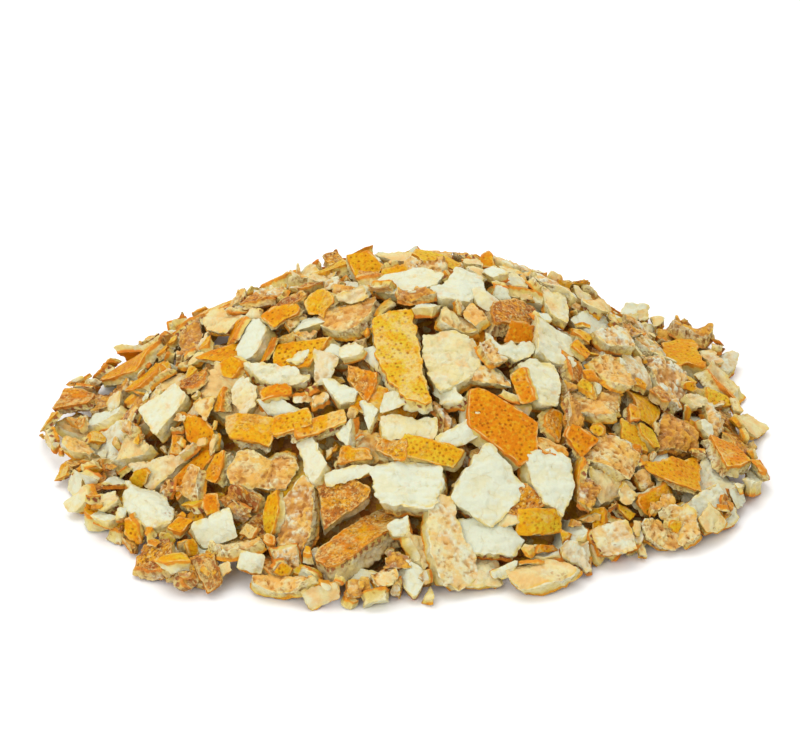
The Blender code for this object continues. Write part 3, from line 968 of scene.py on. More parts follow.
def newGroup(name, inputs, outputs, kind="ShaderNodeTree"):
    tree = bpy.data.node_groups.new(name, kind)
    for label, value in inputs.items():
        socketKind = socketKinds.get(label, "NodeSocketFloat")
        made = tree.interface.new_socket(label, in_out="INPUT", socket_type=socketKind)
        if value is not None:
            made.default_value = value
    for label in outputs:
        socketKind = socketKinds.get(label, "NodeSocketFloat")
        tree.interface.new_socket(label, in_out="OUTPUT", socket_type=socketKind)
    return tree, tree.nodes.new("NodeGroupInput").outputs, tree.nodes.new("NodeGroupOutput").inputs


def math2(tree, operation, a, b=0.0, clamp=False):
    node = addNode(tree, "ShaderNodeMath", {0: a, 1: b}, operation=operation, use_clamp=clamp)
    return node.outputs[0]


def plus(tree, a, b, clamp=False):
    return math2(tree, "ADD", a, b, clamp)


def minus(tree, a, b):
    return math2(tree, "SUBTRACT", a, b)


def times(tree, *values):
    product = values[0]
    for value in values[1:]:
        product = math2(tree, "MULTIPLY", product, value)
    return product


def remap(tree, value, low, high, outLow=0.0, outHigh=1.0, easing="SMOOTHSTEP"):
    inputs = {"Value": value, "From Min": low, "From Max": high, "To Min": outLow, "To Max": outHigh}
    return addNode(tree, "ShaderNodeMapRange", inputs, interpolation_type=easing).outputs["Result"]


def mixColour(tree, factor, a, b):
    return addNode(tree, "ShaderNodeMix", {"Factor": factor, 6: a, 7: b}, data_type="RGBA").outputs[2]


def separated(tree, vector):
    return addNode(tree, "ShaderNodeSeparateXYZ", {0: vector}).outputs


def vectorMath(tree, operation, inputs):
    return addNode(tree, "ShaderNodeVectorMath", inputs, operation=operation).outputs[0]


def perMetre(tree, size):
    return math2(tree, "DIVIDE", 1.0, size) if isinstance(size, bpy.types.NodeSocket) else 1 / size


def noiseAt(tree, place, size, detail=2.0, roughness=0.5, output=0):
    inputs = {"Vector": place, "Scale": perMetre(tree, size), "Detail": detail, "Roughness": roughness}
    return addNode(tree, "ShaderNodeTexNoise", inputs).outputs[output]


def cellsAt(tree, place, size, **settings):
    inputs = {"Vector": place, "Scale": perMetre(tree, size)}
    return addNode(tree, "ShaderNodeTexVoronoi", inputs, **settings).outputs


def bentPlace(tree, place, size, reach, detail=2.0):
    # Shifts the place unevenly, so that cells lose their straight borders
    shift = noiseAt(tree, place, size, detail, output="Color")
    return vectorMath(tree, "MULTIPLY_ADD", {0: shift, 1: (reach,) * 3, 2: place})


def attributeOf(tree, name, kind="FLOAT"):
    node = addNode(tree, "GeometryNodeInputNamedAttribute", {"Name": name}, data_type=kind)
    return node.outputs["Attribute"]


def withAttribute(tree, shape, name, value, kind="FLOAT", domain="POINT"):
    inputs = {"Geometry": shape, "Name": name, "Value": value}
    return addNode(tree, "GeometryNodeStoreNamedAttribute", inputs, data_type=kind, domain=domain).outputs[0]


def moved(tree, shape, direction, distance):
    offset = vectorMath(tree, "SCALE", {0: direction, "Scale": distance})
    return addNode(tree, "GeometryNodeSetPosition", {"Geometry": shape, "Offset": offset}).outputs[0]


# Drying relief of the chips, with the three finishes set by face

reliefPlan = {
    "Lump Height": 0.22 * mm,
    "Lump Size": 2.4 * mm,
    "Fibre Height": 0.34 * mm,
    "Fibre Size": 0.75 * mm,
    "Flake Height": 0.16 * mm,
    "Flake Size": 1.5 * mm,
    "Crumble Height": 0.2 * mm,
    "Crumble Size": 0.8 * mm,
    "Grain Height": 0.1 * mm,
    "Grain Size": 0.42 * mm,
    "Wrinkle Height": 0.5 * mm,
    "Wrinkle Size": 1.3 * mm,
    "Overall": 2.5,
}


def reliefTree(finishes):
    inputs = {"Geometry": None, **reliefPlan}
    tree, given, result = newGroup("dryingRelief", inputs, ["Geometry"], "GeometryNodeTree")
    place = attributeOf(tree, "peelPlace", "FLOAT_VECTOR")
    pith = attributeOf(tree, "peelPith")
    _, browned, chance = separated(tree, attributeOf(tree, "peelLook", "FLOAT_VECTOR"))

    def centred(label, detail, at=place):
        return minus(tree, noiseAt(tree, at, given[label + " Size"], detail), 0.5)

    def ridged(label):
        return math2(tree, "ABSOLUTE", centred(label, 3.0))

    lumps = times(tree, centred("Lump", 2.0), pith, given["Lump Height"])
    grain = times(tree, centred("Grain", 1.0), given["Grain Height"])
    wrinkle = times(tree, minus(tree, ridged("Wrinkle"), 0.12), given["Wrinkle Height"], browned)
    # Pits of crumbly pith, large and small, in patches
    bent = bentPlace(tree, place, 0.9 * mm, 1.1 * mm, 3.0)
    scale = perMetre(tree, given["Crumble Size"])
    large, small = (addNode(tree, "ShaderNodeTexVoronoi", {"Vector": bent, "Scale": size}).outputs["Distance"]
                    for size in (scale, times(tree, scale, 1.8)))
    pit = plus(tree, remap(tree, large, 0.5, 0.1), remap(tree, small, 0.5, 0.15, 0.0, 0.5))
    pit = times(tree, pit, remap(tree, noiseAt(tree, place, 2.0 * mm), 0.36, 0.54, 0.25, 1.0))
    crumble = minus(tree, times(tree, ridged("Crumble"), 1.2), pit)
    crumble = times(tree, crumble, given["Crumble Height"], attributeOf(tree, "peelCrumbly"))
    flake = separated(tree, cellsAt(tree, bent, given["Flake Size"])["Color"])[0]
    flake = times(tree, minus(tree, flake, 0.5), given["Flake Height"], pith, 0.4)
    drawnOut = vectorMath(tree, "MULTIPLY", {0: bent, 1: (0.22, 1.0, 0.5)})
    some = remap(tree, chance, 0.3, 0.5)  # not every chip is fibrous
    fibre = times(tree, centred("Fibre", 2.0, drawnOut), given["Fibre Height"], some, pith)
    lumps = plus(tree, plus(tree, lumps, flake), fibre)
    total = plus(tree, plus(tree, lumps, grain), plus(tree, wrinkle, crumble))
    height = times(tree, total, given["Overall"])
    shape = withAttribute(tree, given["Geometry"], "peelHollow", math2(tree, "DIVIDE", height, mm))
    shape = moved(tree, shape, addNode(tree, "GeometryNodeInputNormal").outputs[0], height)
    shape = addNode(tree, "GeometryNodeRealizeInstances", {"Geometry": shape}).outputs[0]
    for face, finish in enumerate(finishes):
        inputs = {2: attributeOf(tree, "peelFace", "INT"), 3: face}
        chosen = addNode(tree, "FunctionNodeCompare", inputs, data_type="INT", operation="EQUAL").outputs[0]
        inputs = {"Geometry": shape, "Selection": chosen, "Material": finish}
        shape = addNode(tree, "GeometryNodeSetMaterial", inputs).outputs[0]
    tree.links.new(shape, result["Geometry"])
    return tree


def applied(piece, tree, values):
    modifier = piece.modifiers.new(tree.name, "NODES")
    modifier.node_group = tree
    for item in tree.interface.items_tree:
        if item.in_out == "INPUT" and item.name in values:
            modifier[item.identifier] = values[item.name]
    graph = bpy.context.evaluated_depsgraph_get()
    mesh = bpy.data.meshes.new_from_object(piece.evaluated_get(graph))
    piece.modifiers.remove(modifier)
    piece.data = mesh
    mesh.name = piece.name
    spots = np.zeros(len(mesh.vertices) * 3)
    mesh.vertices.foreach_get("co", spots)
    spots[2::3] = np.maximum(spots[2::3], 0.01 * mm)  # flat where it rests on the floor
    mesh.vertices.foreach_set("co", spots)
    mesh.shade_smooth()
    mesh.set_sharp_from_angle(angle=math.radians(48))
    return piece


# Finishes

peelColours = {
    "deepOrange": (0.56, 0.165, 0.0, 1),
    "amber": (0.62, 0.30, 0.001, 1),
    "yellow": (0.58, 0.405, 0.02, 1),
    "gland": (0.29, 0.07, 0.0, 1),
    "white": (0.57, 0.585, 0.44, 1),
    "cream": (0.62, 0.51, 0.20, 1),
    "crease": (0.50, 0.37, 0.10, 1),
    "tan": (0.63, 0.31, 0.06, 1),
    "brown": (0.39, 0.14, 0.03, 1),
    # painted shade, laid into the hollows of porous pith and of the cut side
    "hollowShade": (0.43, 0.17, 0.02, 1),
    "rust": (0.46, 0.13, 0.003, 1),
    "darkBrown": (0.15, 0.042, 0.006, 1),
    "scorched": (0.23, 0.048, 0.012, 1),
}


def readingGroup():
    # What the mesh says about each point of a chip
    marks = ("Depth", "Gland", "Edge", "Run", "Hollow", "Crumbly")
    tree, _, result = newGroup("peelReading", {}, ("Place", "Tone", "Browned", "Chance", *marks))

    def read(name, output):
        return addNode(tree, "ShaderNodeAttribute", attribute_name=name).outputs[output]

    tree.links.new(read("peelPlace", "Vector"), result["Place"])
    for label, value in zip(("Tone", "Browned", "Chance"), separated(tree, read("peelLook", "Vector"))):
        tree.links.new(value, result[label])
    for label in marks:
        tree.links.new(read("peel" + label, "Fac"), result[label])
    return tree


def blotchGroup():
    # Uneven patches: a mask of the given size and amount
    inputs = {"Place": None, "Size": 2 * mm, "Amount": 0.5, "Softness": 0.15}
    tree, given, result = newGroup("peelBlotch", inputs, ["Mask"])
    value = noiseAt(tree, given["Place"], given["Size"], 4.0, 0.6)
    middle = remap(tree, minus(tree, 1.0, given["Amount"]), 0.0, 1.0, 0.25, 0.75, "LINEAR")
    low = minus(tree, middle, given["Softness"])
    high = plus(tree, middle, given["Softness"])
    tree.links.new(remap(tree, value, low, high), result["Mask"])
    return tree


def grainGroup():
    # Fine dry grain, as a height
    inputs = {"Place": None, "Coarse": 0.35 * mm, "Fine": 0.12 * mm}
    tree, given, result = newGroup("peelGrain", inputs, ["Height"])
    coarse, fine = (noiseAt(tree, given["Place"], given[label]) for label in ("Coarse", "Fine"))
    tree.links.new(plus(tree, coarse, times(tree, fine, 0.5)), result["Height"])
    return tree


def poresGroup():
    # Small open pores in patches: a mask, 1 in a pore
    tree, given, result = newGroup("peelPores", {"Place": None, "Size": 0.5 * mm, "Amount": 0.4}, ["Mask"])
    bent = bentPlace(tree, given["Place"], given["Size"], 0.5 * mm)
    pore = remap(tree, cellsAt(tree, bent, given["Size"])["Distance"], 0.5, 0.15)
    middle = remap(tree, given["Amount"], 0.0, 1.0, 0.85, 0.36, "LINEAR")
    low, high = minus(tree, middle, 0.06), plus(tree, middle, 0.06)
    patch = remap(tree, noiseAt(tree, given["Place"], 2.2 * mm), low, high)
    tree.links.new(times(tree, pore, patch), result["Mask"])
    return tree


def flakesGroup():
    # Thin creases between the flakes of torn pith: a mask, 1 in a crease
    tree, given, result = newGroup("pithFlakes", {"Place": None, "Size": 1.5 * mm}, ["Crease"])
    bent = bentPlace(tree, given["Place"], 0.9 * mm, 0.9 * mm)
    border = cellsAt(tree, bent, given["Size"], feature="DISTANCE_TO_EDGE")["Distance"]
    some = remap(tree, noiseAt(tree, given["Place"], 1.7 * mm), 0.45, 0.6)
    tree.links.new(times(tree, remap(tree, border, 0.1, 0.0), some), result["Crease"])
    return tree


groups = {
    "reading": readingGroup(),
    "blotch": blotchGroup(),
    "grain": grainGroup(),
    "pores": poresGroup(),
    "flakes": flakesGroup(),
}


def placeGroup(tree, name, inputs=None):
    return addNode(tree, "ShaderNodeGroup", inputs, node_tree=groups[name]).outputs


def newFinish(name, look):
    finish = bpy.data.materials.new(name)
    finish.use_nodes = True
    tree = finish.node_tree
    shader = tree.nodes["Principled BSDF"]
    shader.inputs["Roughness"].default_value = look["roughness"]
    shader.inputs["Subsurface Weight"].default_value = look["subsurface"]
    shader.inputs["Subsurface Radius"].default_value = (1.0, 0.6, 0.3)
    shader.inputs["Subsurface Scale"].default_value = 0.5 * mm
    return finish, tree, shader


def finishWith(tree, shader, colour, height, look):
    tree.links.new(colour, shader.inputs["Base Color"])
    inputs = {"Height": height, "Strength": look["bump"], "Distance": look["bumpDepth"]}
    tree.links.new(addNode(tree, "ShaderNodeBump", inputs).outputs[0], shader.inputs["Normal"])


def speckled(tree, place, size, amount, softness=0.08):
    inputs = {"Place": place, "Size": size, "Amount": amount, "Softness": softness}
    return placeGroup(tree, "blotch", inputs)["Mask"]


def faded(tree, mask, strength, colour, over):
    return mixColour(tree, times(tree, mask, strength), colour, peelColours[over])


def spotted(tree, place, colour, over, strength, size, amount, softness=0.08):
    return faded(tree, speckled(tree, place, size, amount, softness), strength, colour, over)


# Browning: each row is a layer of spots with its colour, strength, size, amount and softness

brownLook = {
    "patches": 2.0 * mm,
    "blends": [("rust", 0.7, 2.6 * mm, 0.45, 0.08), ("amber", 0.75, 1.7 * mm, 0.42, 0.12)],
    "scorched": (1.5 * mm, 0.45, 0.06),
    "specks": [("darkBrown", 0.85, 0.33 * mm, 0.38, 0.08), ("cream", 0.65, 0.38 * mm, 0.34, 0.08)],
}


def brownedOver(tree, read, colour, share):
    # Browning by patches, more of it on a browned chip, with painted highlight on its raised lumps and
    # painted shade in its hollows
    place, browned, hollow = read["Place"], read["Browned"], read["Hollow"]
    patch = speckled(tree, place, brownLook["patches"], browned)
    mask = times(tree, patch, remap(tree, browned, 0.25, 0.75, 0.45, 1.0), share)
    mottle = speckled(tree, place, 0.6 * mm, 0.5, 0.12)
    brown = mixColour(tree, mottle, peelColours["tan"], peelColours["brown"])
    for layer in brownLook["blends"]:
        brown = spotted(tree, place, brown, *layer)
    scorched = times(tree, speckled(tree, place, *brownLook["scorched"]), remap(tree, browned, 0.45, 0.8))
    brown = faded(tree, scorched, 0.8, brown, "scorched")
    for layer in brownLook["specks"]:
        brown = spotted(tree, place, brown, *layer)
    # painted highlight: raised lumps turn cream; painted shade: sunk parts of the relief turn dark brown
    brown = faded(tree, remap(tree, hollow, 0.1, 0.3), 0.5, brown, "cream")
    brown = faded(tree, remap(tree, hollow, -0.06, -0.3), 0.75, brown, "darkBrown")
    return mixColour(tree, mask, colour, brown)


zestLook = {
    "roughness": 0.55,
    "gloss": 0.1,
    "subsurface": 0.08,
    "toneDrift": 0.25,      # how far the colour strays within a chip
    "pitSize": 0.5 * mm,    # small pits between the oil glands
    "glandStrength": 0.9,
    "browning": 0.95,
    "wornSize": 2.3 * mm,   # patches where the skin is rubbed pale
    "worn": 0.65,
    "rim": 0.4,             # width of the pale rim in millimetres
    "rimStrength": 0.7,
    "bump": 1.0,
    "bumpDepth": 0.14 * mm,
}


def zestFinish():
    finish, tree, shader = newFinish("zestSkin", zestLook)
    shader.inputs["Specular IOR Level"].default_value = zestLook["gloss"]
    read = placeGroup(tree, "reading")
    place = read["Place"]
    drift = zestLook["toneDrift"]
    drift = remap(tree, noiseAt(tree, place, 2.2 * mm, 3.0), 0.3, 0.7, -drift, drift)
    tone = plus(tree, read["Tone"], drift, clamp=True)
    colour = mixColour(tree, remap(tree, tone, 0.05, 0.55), peelColours["deepOrange"], peelColours["amber"])
    colour = mixColour(tree, remap(tree, tone, 0.45, 1.0), colour, peelColours["yellow"])
    colour = spotted(tree, place, colour, "deepOrange", 0.6, 0.42 * mm, 0.45, 0.1)
    colour = spotted(tree, place, colour, "yellow", 0.5, 0.5 * mm, 0.36)
    cells = cellsAt(tree, place, zestLook["pitSize"])["Distance"]
    pits = times(tree, remap(tree, cells, 0.4, 0.1), remap(tree, noiseAt(tree, place, 0.9 * mm), 0.4, 0.65))
    colour = faded(tree, pits, 0.5, colour, "gland")
    uneven = remap(tree, noiseAt(tree, place, 0.3 * mm), 0.35, 0.6, 0.45, 1.0)
    gland = times(tree, remap(tree, read["Gland"], 0.02, 0.6), uneven)
    colour = faded(tree, gland, zestLook["glandStrength"], colour, "gland")
    colour = brownedOver(tree, read, colour, zestLook["browning"])
    amount = remap(tree, read["Chance"], 0.0, 1.0, -0.1, 0.5, "LINEAR")
    worn = speckled(tree, place, zestLook["wornSize"], amount)
    worn = times(tree, worn, remap(tree, noiseAt(tree, place, 0.4 * mm), 0.35, 0.55, 0.35, 1.0))
    colour = faded(tree, worn, zestLook["worn"], colour, "cream")
    rim = remap(tree, read["Edge"], 0.0, zestLook["rim"], 1.0, 0.0)
    rim = times(tree, rim, speckled(tree, place, 1.3 * mm, 0.45))
    colour = faded(tree, rim, zestLook["rimStrength"], colour, "cream")
    grain = placeGroup(tree, "grain", {"Place": place})["Height"]
    dents = plus(tree, times(tree, pits, 0.6), times(tree, gland, 0.5))
    finishWith(tree, shader, colour, minus(tree, grain, dents), zestLook)
    return finish


pithLook = {
    "roughness": 0.9,
    "subsurface": 0.15,
    "warmSize": 2.4 * mm,   # cream patches on the white
    "warmth": 0.8,
    "flakes": 1.5 * mm,
    "browning": 0.85,
    "rim": 0.55,            # width of the yellow rim in millimetres
    "rimStrength": 0.7,
    "pores": 0.45 * mm,
    "stains": 0.7,
    "bump": 0.9,
    "bumpDepth": 0.1 * mm,
}


def pithFinish():
    finish, tree, shader = newFinish("pithSide", pithLook)
    read = placeGroup(tree, "reading")
    place, hollow = read["Place"], read["Hollow"]
    warm = speckled(tree, place, pithLook["warmSize"], read["Tone"], 0.2)
    colour = faded(tree, warm, pithLook["warmth"], peelColours["white"], "cream")
    # painted shade: the white turns cream where the relief sinks into a dip
    colour = faded(tree, remap(tree, hollow, 0.0, -0.15), 0.3, colour, "cream")
    crease = placeGroup(tree, "flakes", {"Place": place, "Size": pithLook["flakes"]})["Crease"]
    # painted shade: thin creases between the flakes are tinted darker
    colour = faded(tree, crease, 0.2, colour, "crease")
    colour = brownedOver(tree, read, colour, pithLook["browning"])
    rim = remap(tree, read["Edge"], 0.0, pithLook["rim"], 1.0, 0.0)
    rim = times(tree, rim, speckled(tree, place, 1.6 * mm, 0.4))
    colour = faded(tree, rim, pithLook["rimStrength"], colour, "yellow")
    inputs = {"Place": place, "Size": pithLook["pores"], "Amount": read["Crumbly"]}
    pores = placeGroup(tree, "pores", inputs)["Mask"]
    colour = faded(tree, pores, 0.5, colour, "brown")
    porous = remap(tree, read["Crumbly"], 0.3, 0.6)
    stain = times(tree, porous, speckled(tree, place, 1.3 * mm, 0.5))
    colour = faded(tree, stain, pithLook["stains"], colour, "amber")
    # painted shade: on porous pith the sunk parts of the relief turn dark brown
    sunk = times(tree, porous, remap(tree, hollow, 0.0, -0.22))
    colour = faded(tree, sunk, 0.8, colour, "hollowShade")
    colour = spotted(tree, place, colour, "tan", 0.55, 1.9 * mm, times(tree, read["Tone"], 0.55), 0.12)
    grain = placeGroup(tree, "grain", {"Place": place})["Height"]
    dents = plus(tree, pores, times(tree, crease, 0.35))
    finishWith(tree, shader, colour, minus(tree, grain, dents), pithLook)
    return finish


cutLook = {
    "roughness": 0.85,
    "subsurface": 0.12,
    "glandsPerMillimetre": 1.05,
    "glandSize": (0.38, 0.2),   # from the rim of a cut gland to its dark middle, as a share of the spacing
    "glandDepth": (1.2, 1.0),   # cut glands end this deep, in millimetres
    "skin": (0.62, 0.35),       # the zest fades into the pith between these depths, in millimetres
    "pores": 0.4 * mm,
    "browning": 0.3,
    "bump": 0.9,
    "bumpDepth": 0.1 * mm,
}


def cutFinish():
    finish, tree, shader = newFinish("cutSide", cutLook)
    read = placeGroup(tree, "reading")
    place, depth, chance = read["Place"], read["Depth"], read["Chance"]
    cloudy = speckled(tree, place, 1.8 * mm, 0.6, 0.2)
    colour = mixColour(tree, cloudy, peelColours["white"], peelColours["cream"])
    # A row of cut glands runs round the chip, just under its skin
    run = plus(tree, times(tree, read["Run"], cutLook["glandsPerMillimetre"]), times(tree, chance, 37.0))
    row = addNode(tree, "ShaderNodeCombineXYZ", {0: run, 1: plus(tree, depth, 0.7)}).outputs[0]
    inputs = {"Vector": row, "Scale": 1.0, "Randomness": 0.5}
    cells = addNode(tree, "ShaderNodeTexVoronoi", inputs, voronoi_dimensions="2D").outputs["Distance"]
    cells = plus(tree, cells, remap(tree, noiseAt(tree, place, 0.35 * mm), 0.3, 0.7, -0.1, 0.1))
    dots = times(tree, remap(tree, cells, *cutLook["glandSize"]), remap(tree, depth, *cutLook["glandDepth"]),
                 remap(tree, noiseAt(tree, place, 1.6 * mm), 0.36, 0.46, 0.3, 1.0),
                 remap(tree, chance, 0.66, 0.76, 0.12, 1.0))
    wave = noiseAt(tree, place, 0.7 * mm)
    colour = faded(tree, remap(tree, plus(tree, depth, wave), 1.8, 0.7), 0.75, colour, "yellow")
    colour = spotted(tree, place, colour, "crease", 0.6, 0.8 * mm, 0.35)
    colour = faded(tree, dots, 0.95, colour, "scorched")
    skin = minus(tree, depth, remap(tree, noiseAt(tree, place, 3.0 * mm), 0.35, 0.65, 0.0, 0.35))
    skin = remap(tree, plus(tree, skin, times(tree, wave, 0.6)), *cutLook["skin"])
    zest = mixColour(tree, read["Tone"], peelColours["deepOrange"], peelColours["amber"])
    zest = spotted(tree, place, zest, "rust", 0.7, 0.5 * mm, 0.45, 0.12)
    colour = mixColour(tree, skin, colour, zest)
    inputs = {"Place": place, "Size": cutLook["pores"], "Amount": read["Crumbly"]}
    pores = placeGroup(tree, "pores", inputs)["Mask"]
    colour = faded(tree, pores, 0.5, colour, "brown")
    # painted shade: hollows of the cut side turn dark brown
    colour = faded(tree, remap(tree, read["Hollow"], -0.08, -0.28), 0.7, colour, "hollowShade")
    colour = brownedOver(tree, read, colour, cutLook["browning"])
    grain = placeGroup(tree, "grain", {"Place": place})["Height"]
    finishWith(tree, shader, colour, minus(tree, grain, plus(tree, pores, dots)), cutLook)
    return finish


relief = reliefTree([pithFinish(), cutFinish(), zestFinish()])


# Pieces: chips of a kind, dealt out so that each piece reaches over the whole heap

pieceKinds = [
    ("zestChips", "zest", 5, "zest_side"),
    ("pithChips", "pith", 6, "pith_side"),
    ("brownChips", "brown", 2, "browned_peel"),
]
dealt = {"zest": [], "pith": [], "brown": []}
for chip in shownChips:
    dealt["brown" if chip["browned"] > 0.4 else chip["side"]].append(chip)
made = []
for label, kind, count, slot in pieceKinds:
    for n in range(count):
        piece = joinChips(f"{label}{n + 1}", dealt[kind][n::count])
        made.append((applied(piece, relief, reliefPlan), slot))
print("pieces joined:", [(piece.name, len(piece.data.polygons)) for piece, _ in made])


# The core under the chips

coreLook = {
    "rings": 90,
    "sectors": 320,
    "relief": 0.9 * mm,
    "blobs": (2.2 * mm, 1.0 * mm),
    "crumb": 1.0 * mm,
    "skirtFrom": 2.6 * mm,  # a thin bed of crumbs reaches out to where the heap is this high
    "skirtSlope": 0.4,
    "skirtMost": 0.6 * mm,
    "roughness": 0.9,
    "subsurface": 0.0,
    "bump": 1.0,
    "bumpDepth": 0.35 * mm,
}


def coreMesh():
    rings, sectors = coreLook["rings"], coreLook["sectors"]
    skirt = np.clip((smoothTop - coreLook["skirtFrom"]) * coreLook["skirtSlope"], 0, coreLook["skirtMost"])
    top = np.maximum(coreTop, skirt)
    angles = np.arange(sectors) * math.tau / sectors
    reach = []
    for angle in angles:
        far = np.linspace(0, 46 * mm, 300)
        heights = top[gridIndex(far * math.cos(angle), far * math.sin(angle))]
        reach.append(far[np.argmax(heights < 0.1 * mm)])
    share = np.arange(1, rings + 1)[:, None] / rings
    x = (np.cos(angles) * reach * share).ravel()
    y = (np.sin(angles) * reach * share).ravel()
    x, y = np.append(x, 0), np.append(y, 0)
    height = top[gridIndex(x, y)]
    spots = np.column_stack([x, y, height])
    bumps = sum(softNoise(spots, size, 5 + n) / (n + 1) for n, size in enumerate(coreLook["blobs"]))
    height = np.maximum(height + bumps * coreLook["relief"] * np.clip(height / (2 * mm), 0, 1), 0.02 * mm)
    height[-1 - sectors:-1] = 0.01 * mm
    ring, n = np.meshgrid(np.arange(rings - 1), np.arange(sectors), indexing="ij")
    after = (n + 1) % sectors
    quads = np.stack([n, n + sectors, after + sectors, after], axis=2) + (ring * sectors)[..., None]
    faces = quads.reshape(-1, 4).tolist()
    faces += [(len(x) - 1, n, (n + 1) % sectors) for n in range(sectors)]
    last = (rings - 1) * sectors
    faces.append([last + n for n in reversed(range(sectors))])
    mesh = bpy.data.meshes.new("heapCore")
    mesh.from_pydata(np.column_stack([x, y, height]).tolist(), [], faces)
    mesh.shade_smooth()
    return linked("heapCore", mesh)


def coreFinish():
    # Packed crumbs of pith, zest and browned peel, with painted shade darkening the borders between the
    # crumbs
    finish, tree, shader = newFinish("packedCrumbs", coreLook)
    place = addNode(tree, "ShaderNodeTexCoord").outputs["Object"]
    crumbs = cellsAt(tree, bentPlace(tree, place, 0.7 * mm, 0.8 * mm), coreLook["crumb"])
    chance = separated(tree, crumbs["Color"])
    colour = mixColour(tree, remap(tree, chance[0], 0.3, 0.5), peelColours["rust"], peelColours["tan"])
    colour = mixColour(tree, remap(tree, chance[1], 0.5, 0.6), colour, peelColours["amber"])
    colour = mixColour(tree, remap(tree, chance[2], 0.62, 0.7), colour, peelColours["cream"])
    # painted shade: the borders between the crumbs are darkened
    colour = faded(tree, remap(tree, crumbs["Distance"], 0.3, 0.7), 0.3, colour, "brown")
    grain = placeGroup(tree, "grain", {"Place": place})["Height"]
    finishWith(tree, shader, colour, minus(tree, times(tree, grain, 0.4), crumbs["Distance"]), coreLook)
    return finish


core = coreMesh()
core.data.materials.append(coreFinish())
made.append((core, "dried_peel"))
print("core:", len(core.data.polygons), "faces")


# Loose crumbs, which lie in the hollows between the chips

crumbPlan = {
    "Spacing": 0.4 * mm,    # at least this far apart
    "Most": 6.0,            # crumbs per square millimetre where they lie thickest
    "Size Least": 0.1 * mm,
    "Size Most": 0.34 * mm,
    "Roughness": 0.5,       # how uneven a crumb is, as a share of its size
}


def crumbGround():
    # Copies the open upsides of the chips, marked with how likely a crumb is to lie there
    points, faces, likely = [], [], []
    start = 0
    for piece, _ in made:
        mesh = piece.data
        count = len(mesh.vertices)
        spots = np.zeros(count * 3)
        mesh.vertices.foreach_get("co", spots)
        spots = spots.reshape(-1, 3)
        mesh.calc_loop_triangles()
        corners = np.zeros(len(mesh.loop_triangles) * 3, int)
        mesh.loop_triangles.foreach_get("vertices", corners)
        index = gridIndex(spots[:, 0], spots[:, 1])
        sunk = (heapTop[index] - spots[:, 2]) / mm
        openSky = np.clip((spots[:, 2] - laidTop[index]) / mm + 0.9, 0, 1) ** 2
        points.append(spots)
        faces.append(corners.reshape(-1, 3) + start)
        likely.append(np.clip((sunk - 0.6) / 1.0, 0, 1) * openSky)
        start += count
    mesh = bpy.data.meshes.new("crumbs")
    mesh.from_pydata(np.vstack(points).tolist(), [], np.vstack(faces).tolist())
    attribute = mesh.attributes.new("crumbLikely", "FLOAT", "POINT")
    attribute.data.foreach_set("value", np.concatenate(likely).astype(np.float32))
    return linked("crumbs", mesh)


def crumbTree(finish):
    inputs = {"Geometry": None, **crumbPlan, "Seed": 31}
    tree, given, result = newGroup("looseCrumbs", inputs, ["Geometry"], "GeometryNodeTree")

    def drawn(least, most):
        # A random number or vector for each crumb
        if isinstance(least, tuple):
            inputs, kind, output = {0: least, 1: most}, "FLOAT_VECTOR", 0
        else:
            inputs, kind, output = {2: least, 3: most}, "FLOAT", 1
        inputs["Seed"] = given["Seed"]
        return addNode(tree, "FunctionNodeRandomValue", inputs, data_type=kind).outputs[output]

    facing = separated(tree, addNode(tree, "GeometryNodeInputNormal").outputs[0])[2]
    upright = addNode(tree, "FunctionNodeCompare", {0: facing, 1: 0.45}, operation="GREATER_THAN").outputs[0]
    inputs = {
        "Mesh": given["Geometry"],
        "Selection": upright,
        "Distance Min": given["Spacing"],
        "Density Max": times(tree, given["Most"], 1e6),
        "Density Factor": attributeOf(tree, "crumbLikely"),
        "Seed": given["Seed"],
    }
    spread = addNode(tree, "GeometryNodeDistributePointsOnFaces", inputs, distribute_method="POISSON").outputs
    ball = addNode(tree, "GeometryNodeMeshIcoSphere", {"Radius": 1.0, "Subdivisions": 1}).outputs["Mesh"]
    turn = drawn((0.0, 0.0, 0.0), (math.tau, math.tau, math.tau))
    size = math2(tree, "POWER", drawn(0.0, 1.0), 2.0)  # most of them are small
    size = remap(tree, size, 0.0, 1.0, given["Size Least"], given["Size Most"], "LINEAR")
    settled = moved(tree, spread["Points"], spread["Normal"], times(tree, size, 0.4))
    squeeze = drawn((0.8, 0.5, 0.35), (1.3, 1.0, 0.8))
    scale = vectorMath(tree, "SCALE", {0: squeeze, "Scale": size})
    inputs = {"Points": settled, "Instance": ball, "Rotation": turn, "Scale": scale}
    shape = addNode(tree, "GeometryNodeInstanceOnPoints", inputs).outputs[0]
    look = drawn((0.0, 0.0, 0.0), (1.0, 1.0, 1.0))
    shape = withAttribute(tree, shape, "peelLook", look, "FLOAT_VECTOR", "INSTANCE")
    shape = withAttribute(tree, shape, "crumbSize", size, "FLOAT", "INSTANCE")
    shape = addNode(tree, "GeometryNodeRealizeInstances", {"Geometry": shape}).outputs[0]
    place = addNode(tree, "GeometryNodeInputPosition").outputs[0]
    bump = minus(tree, noiseAt(tree, place, 0.3 * mm, 1.0), 0.5)
    bump = times(tree, bump, times(tree, attributeOf(tree, "crumbSize"), 4.0), given["Roughness"])
    shape = moved(tree, shape, addNode(tree, "GeometryNodeInputNormal").outputs[0], bump)
    shape = addNode(tree, "GeometryNodeSetMaterial", {"Geometry": shape, "Material": finish}).outputs[0]
    tree.links.new(shape, result["Geometry"])
    return tree


crumbLook = {"roughness": 0.85, "subsurface": 0.1, "bump": 0.8, "bumpDepth": 0.06 * mm}


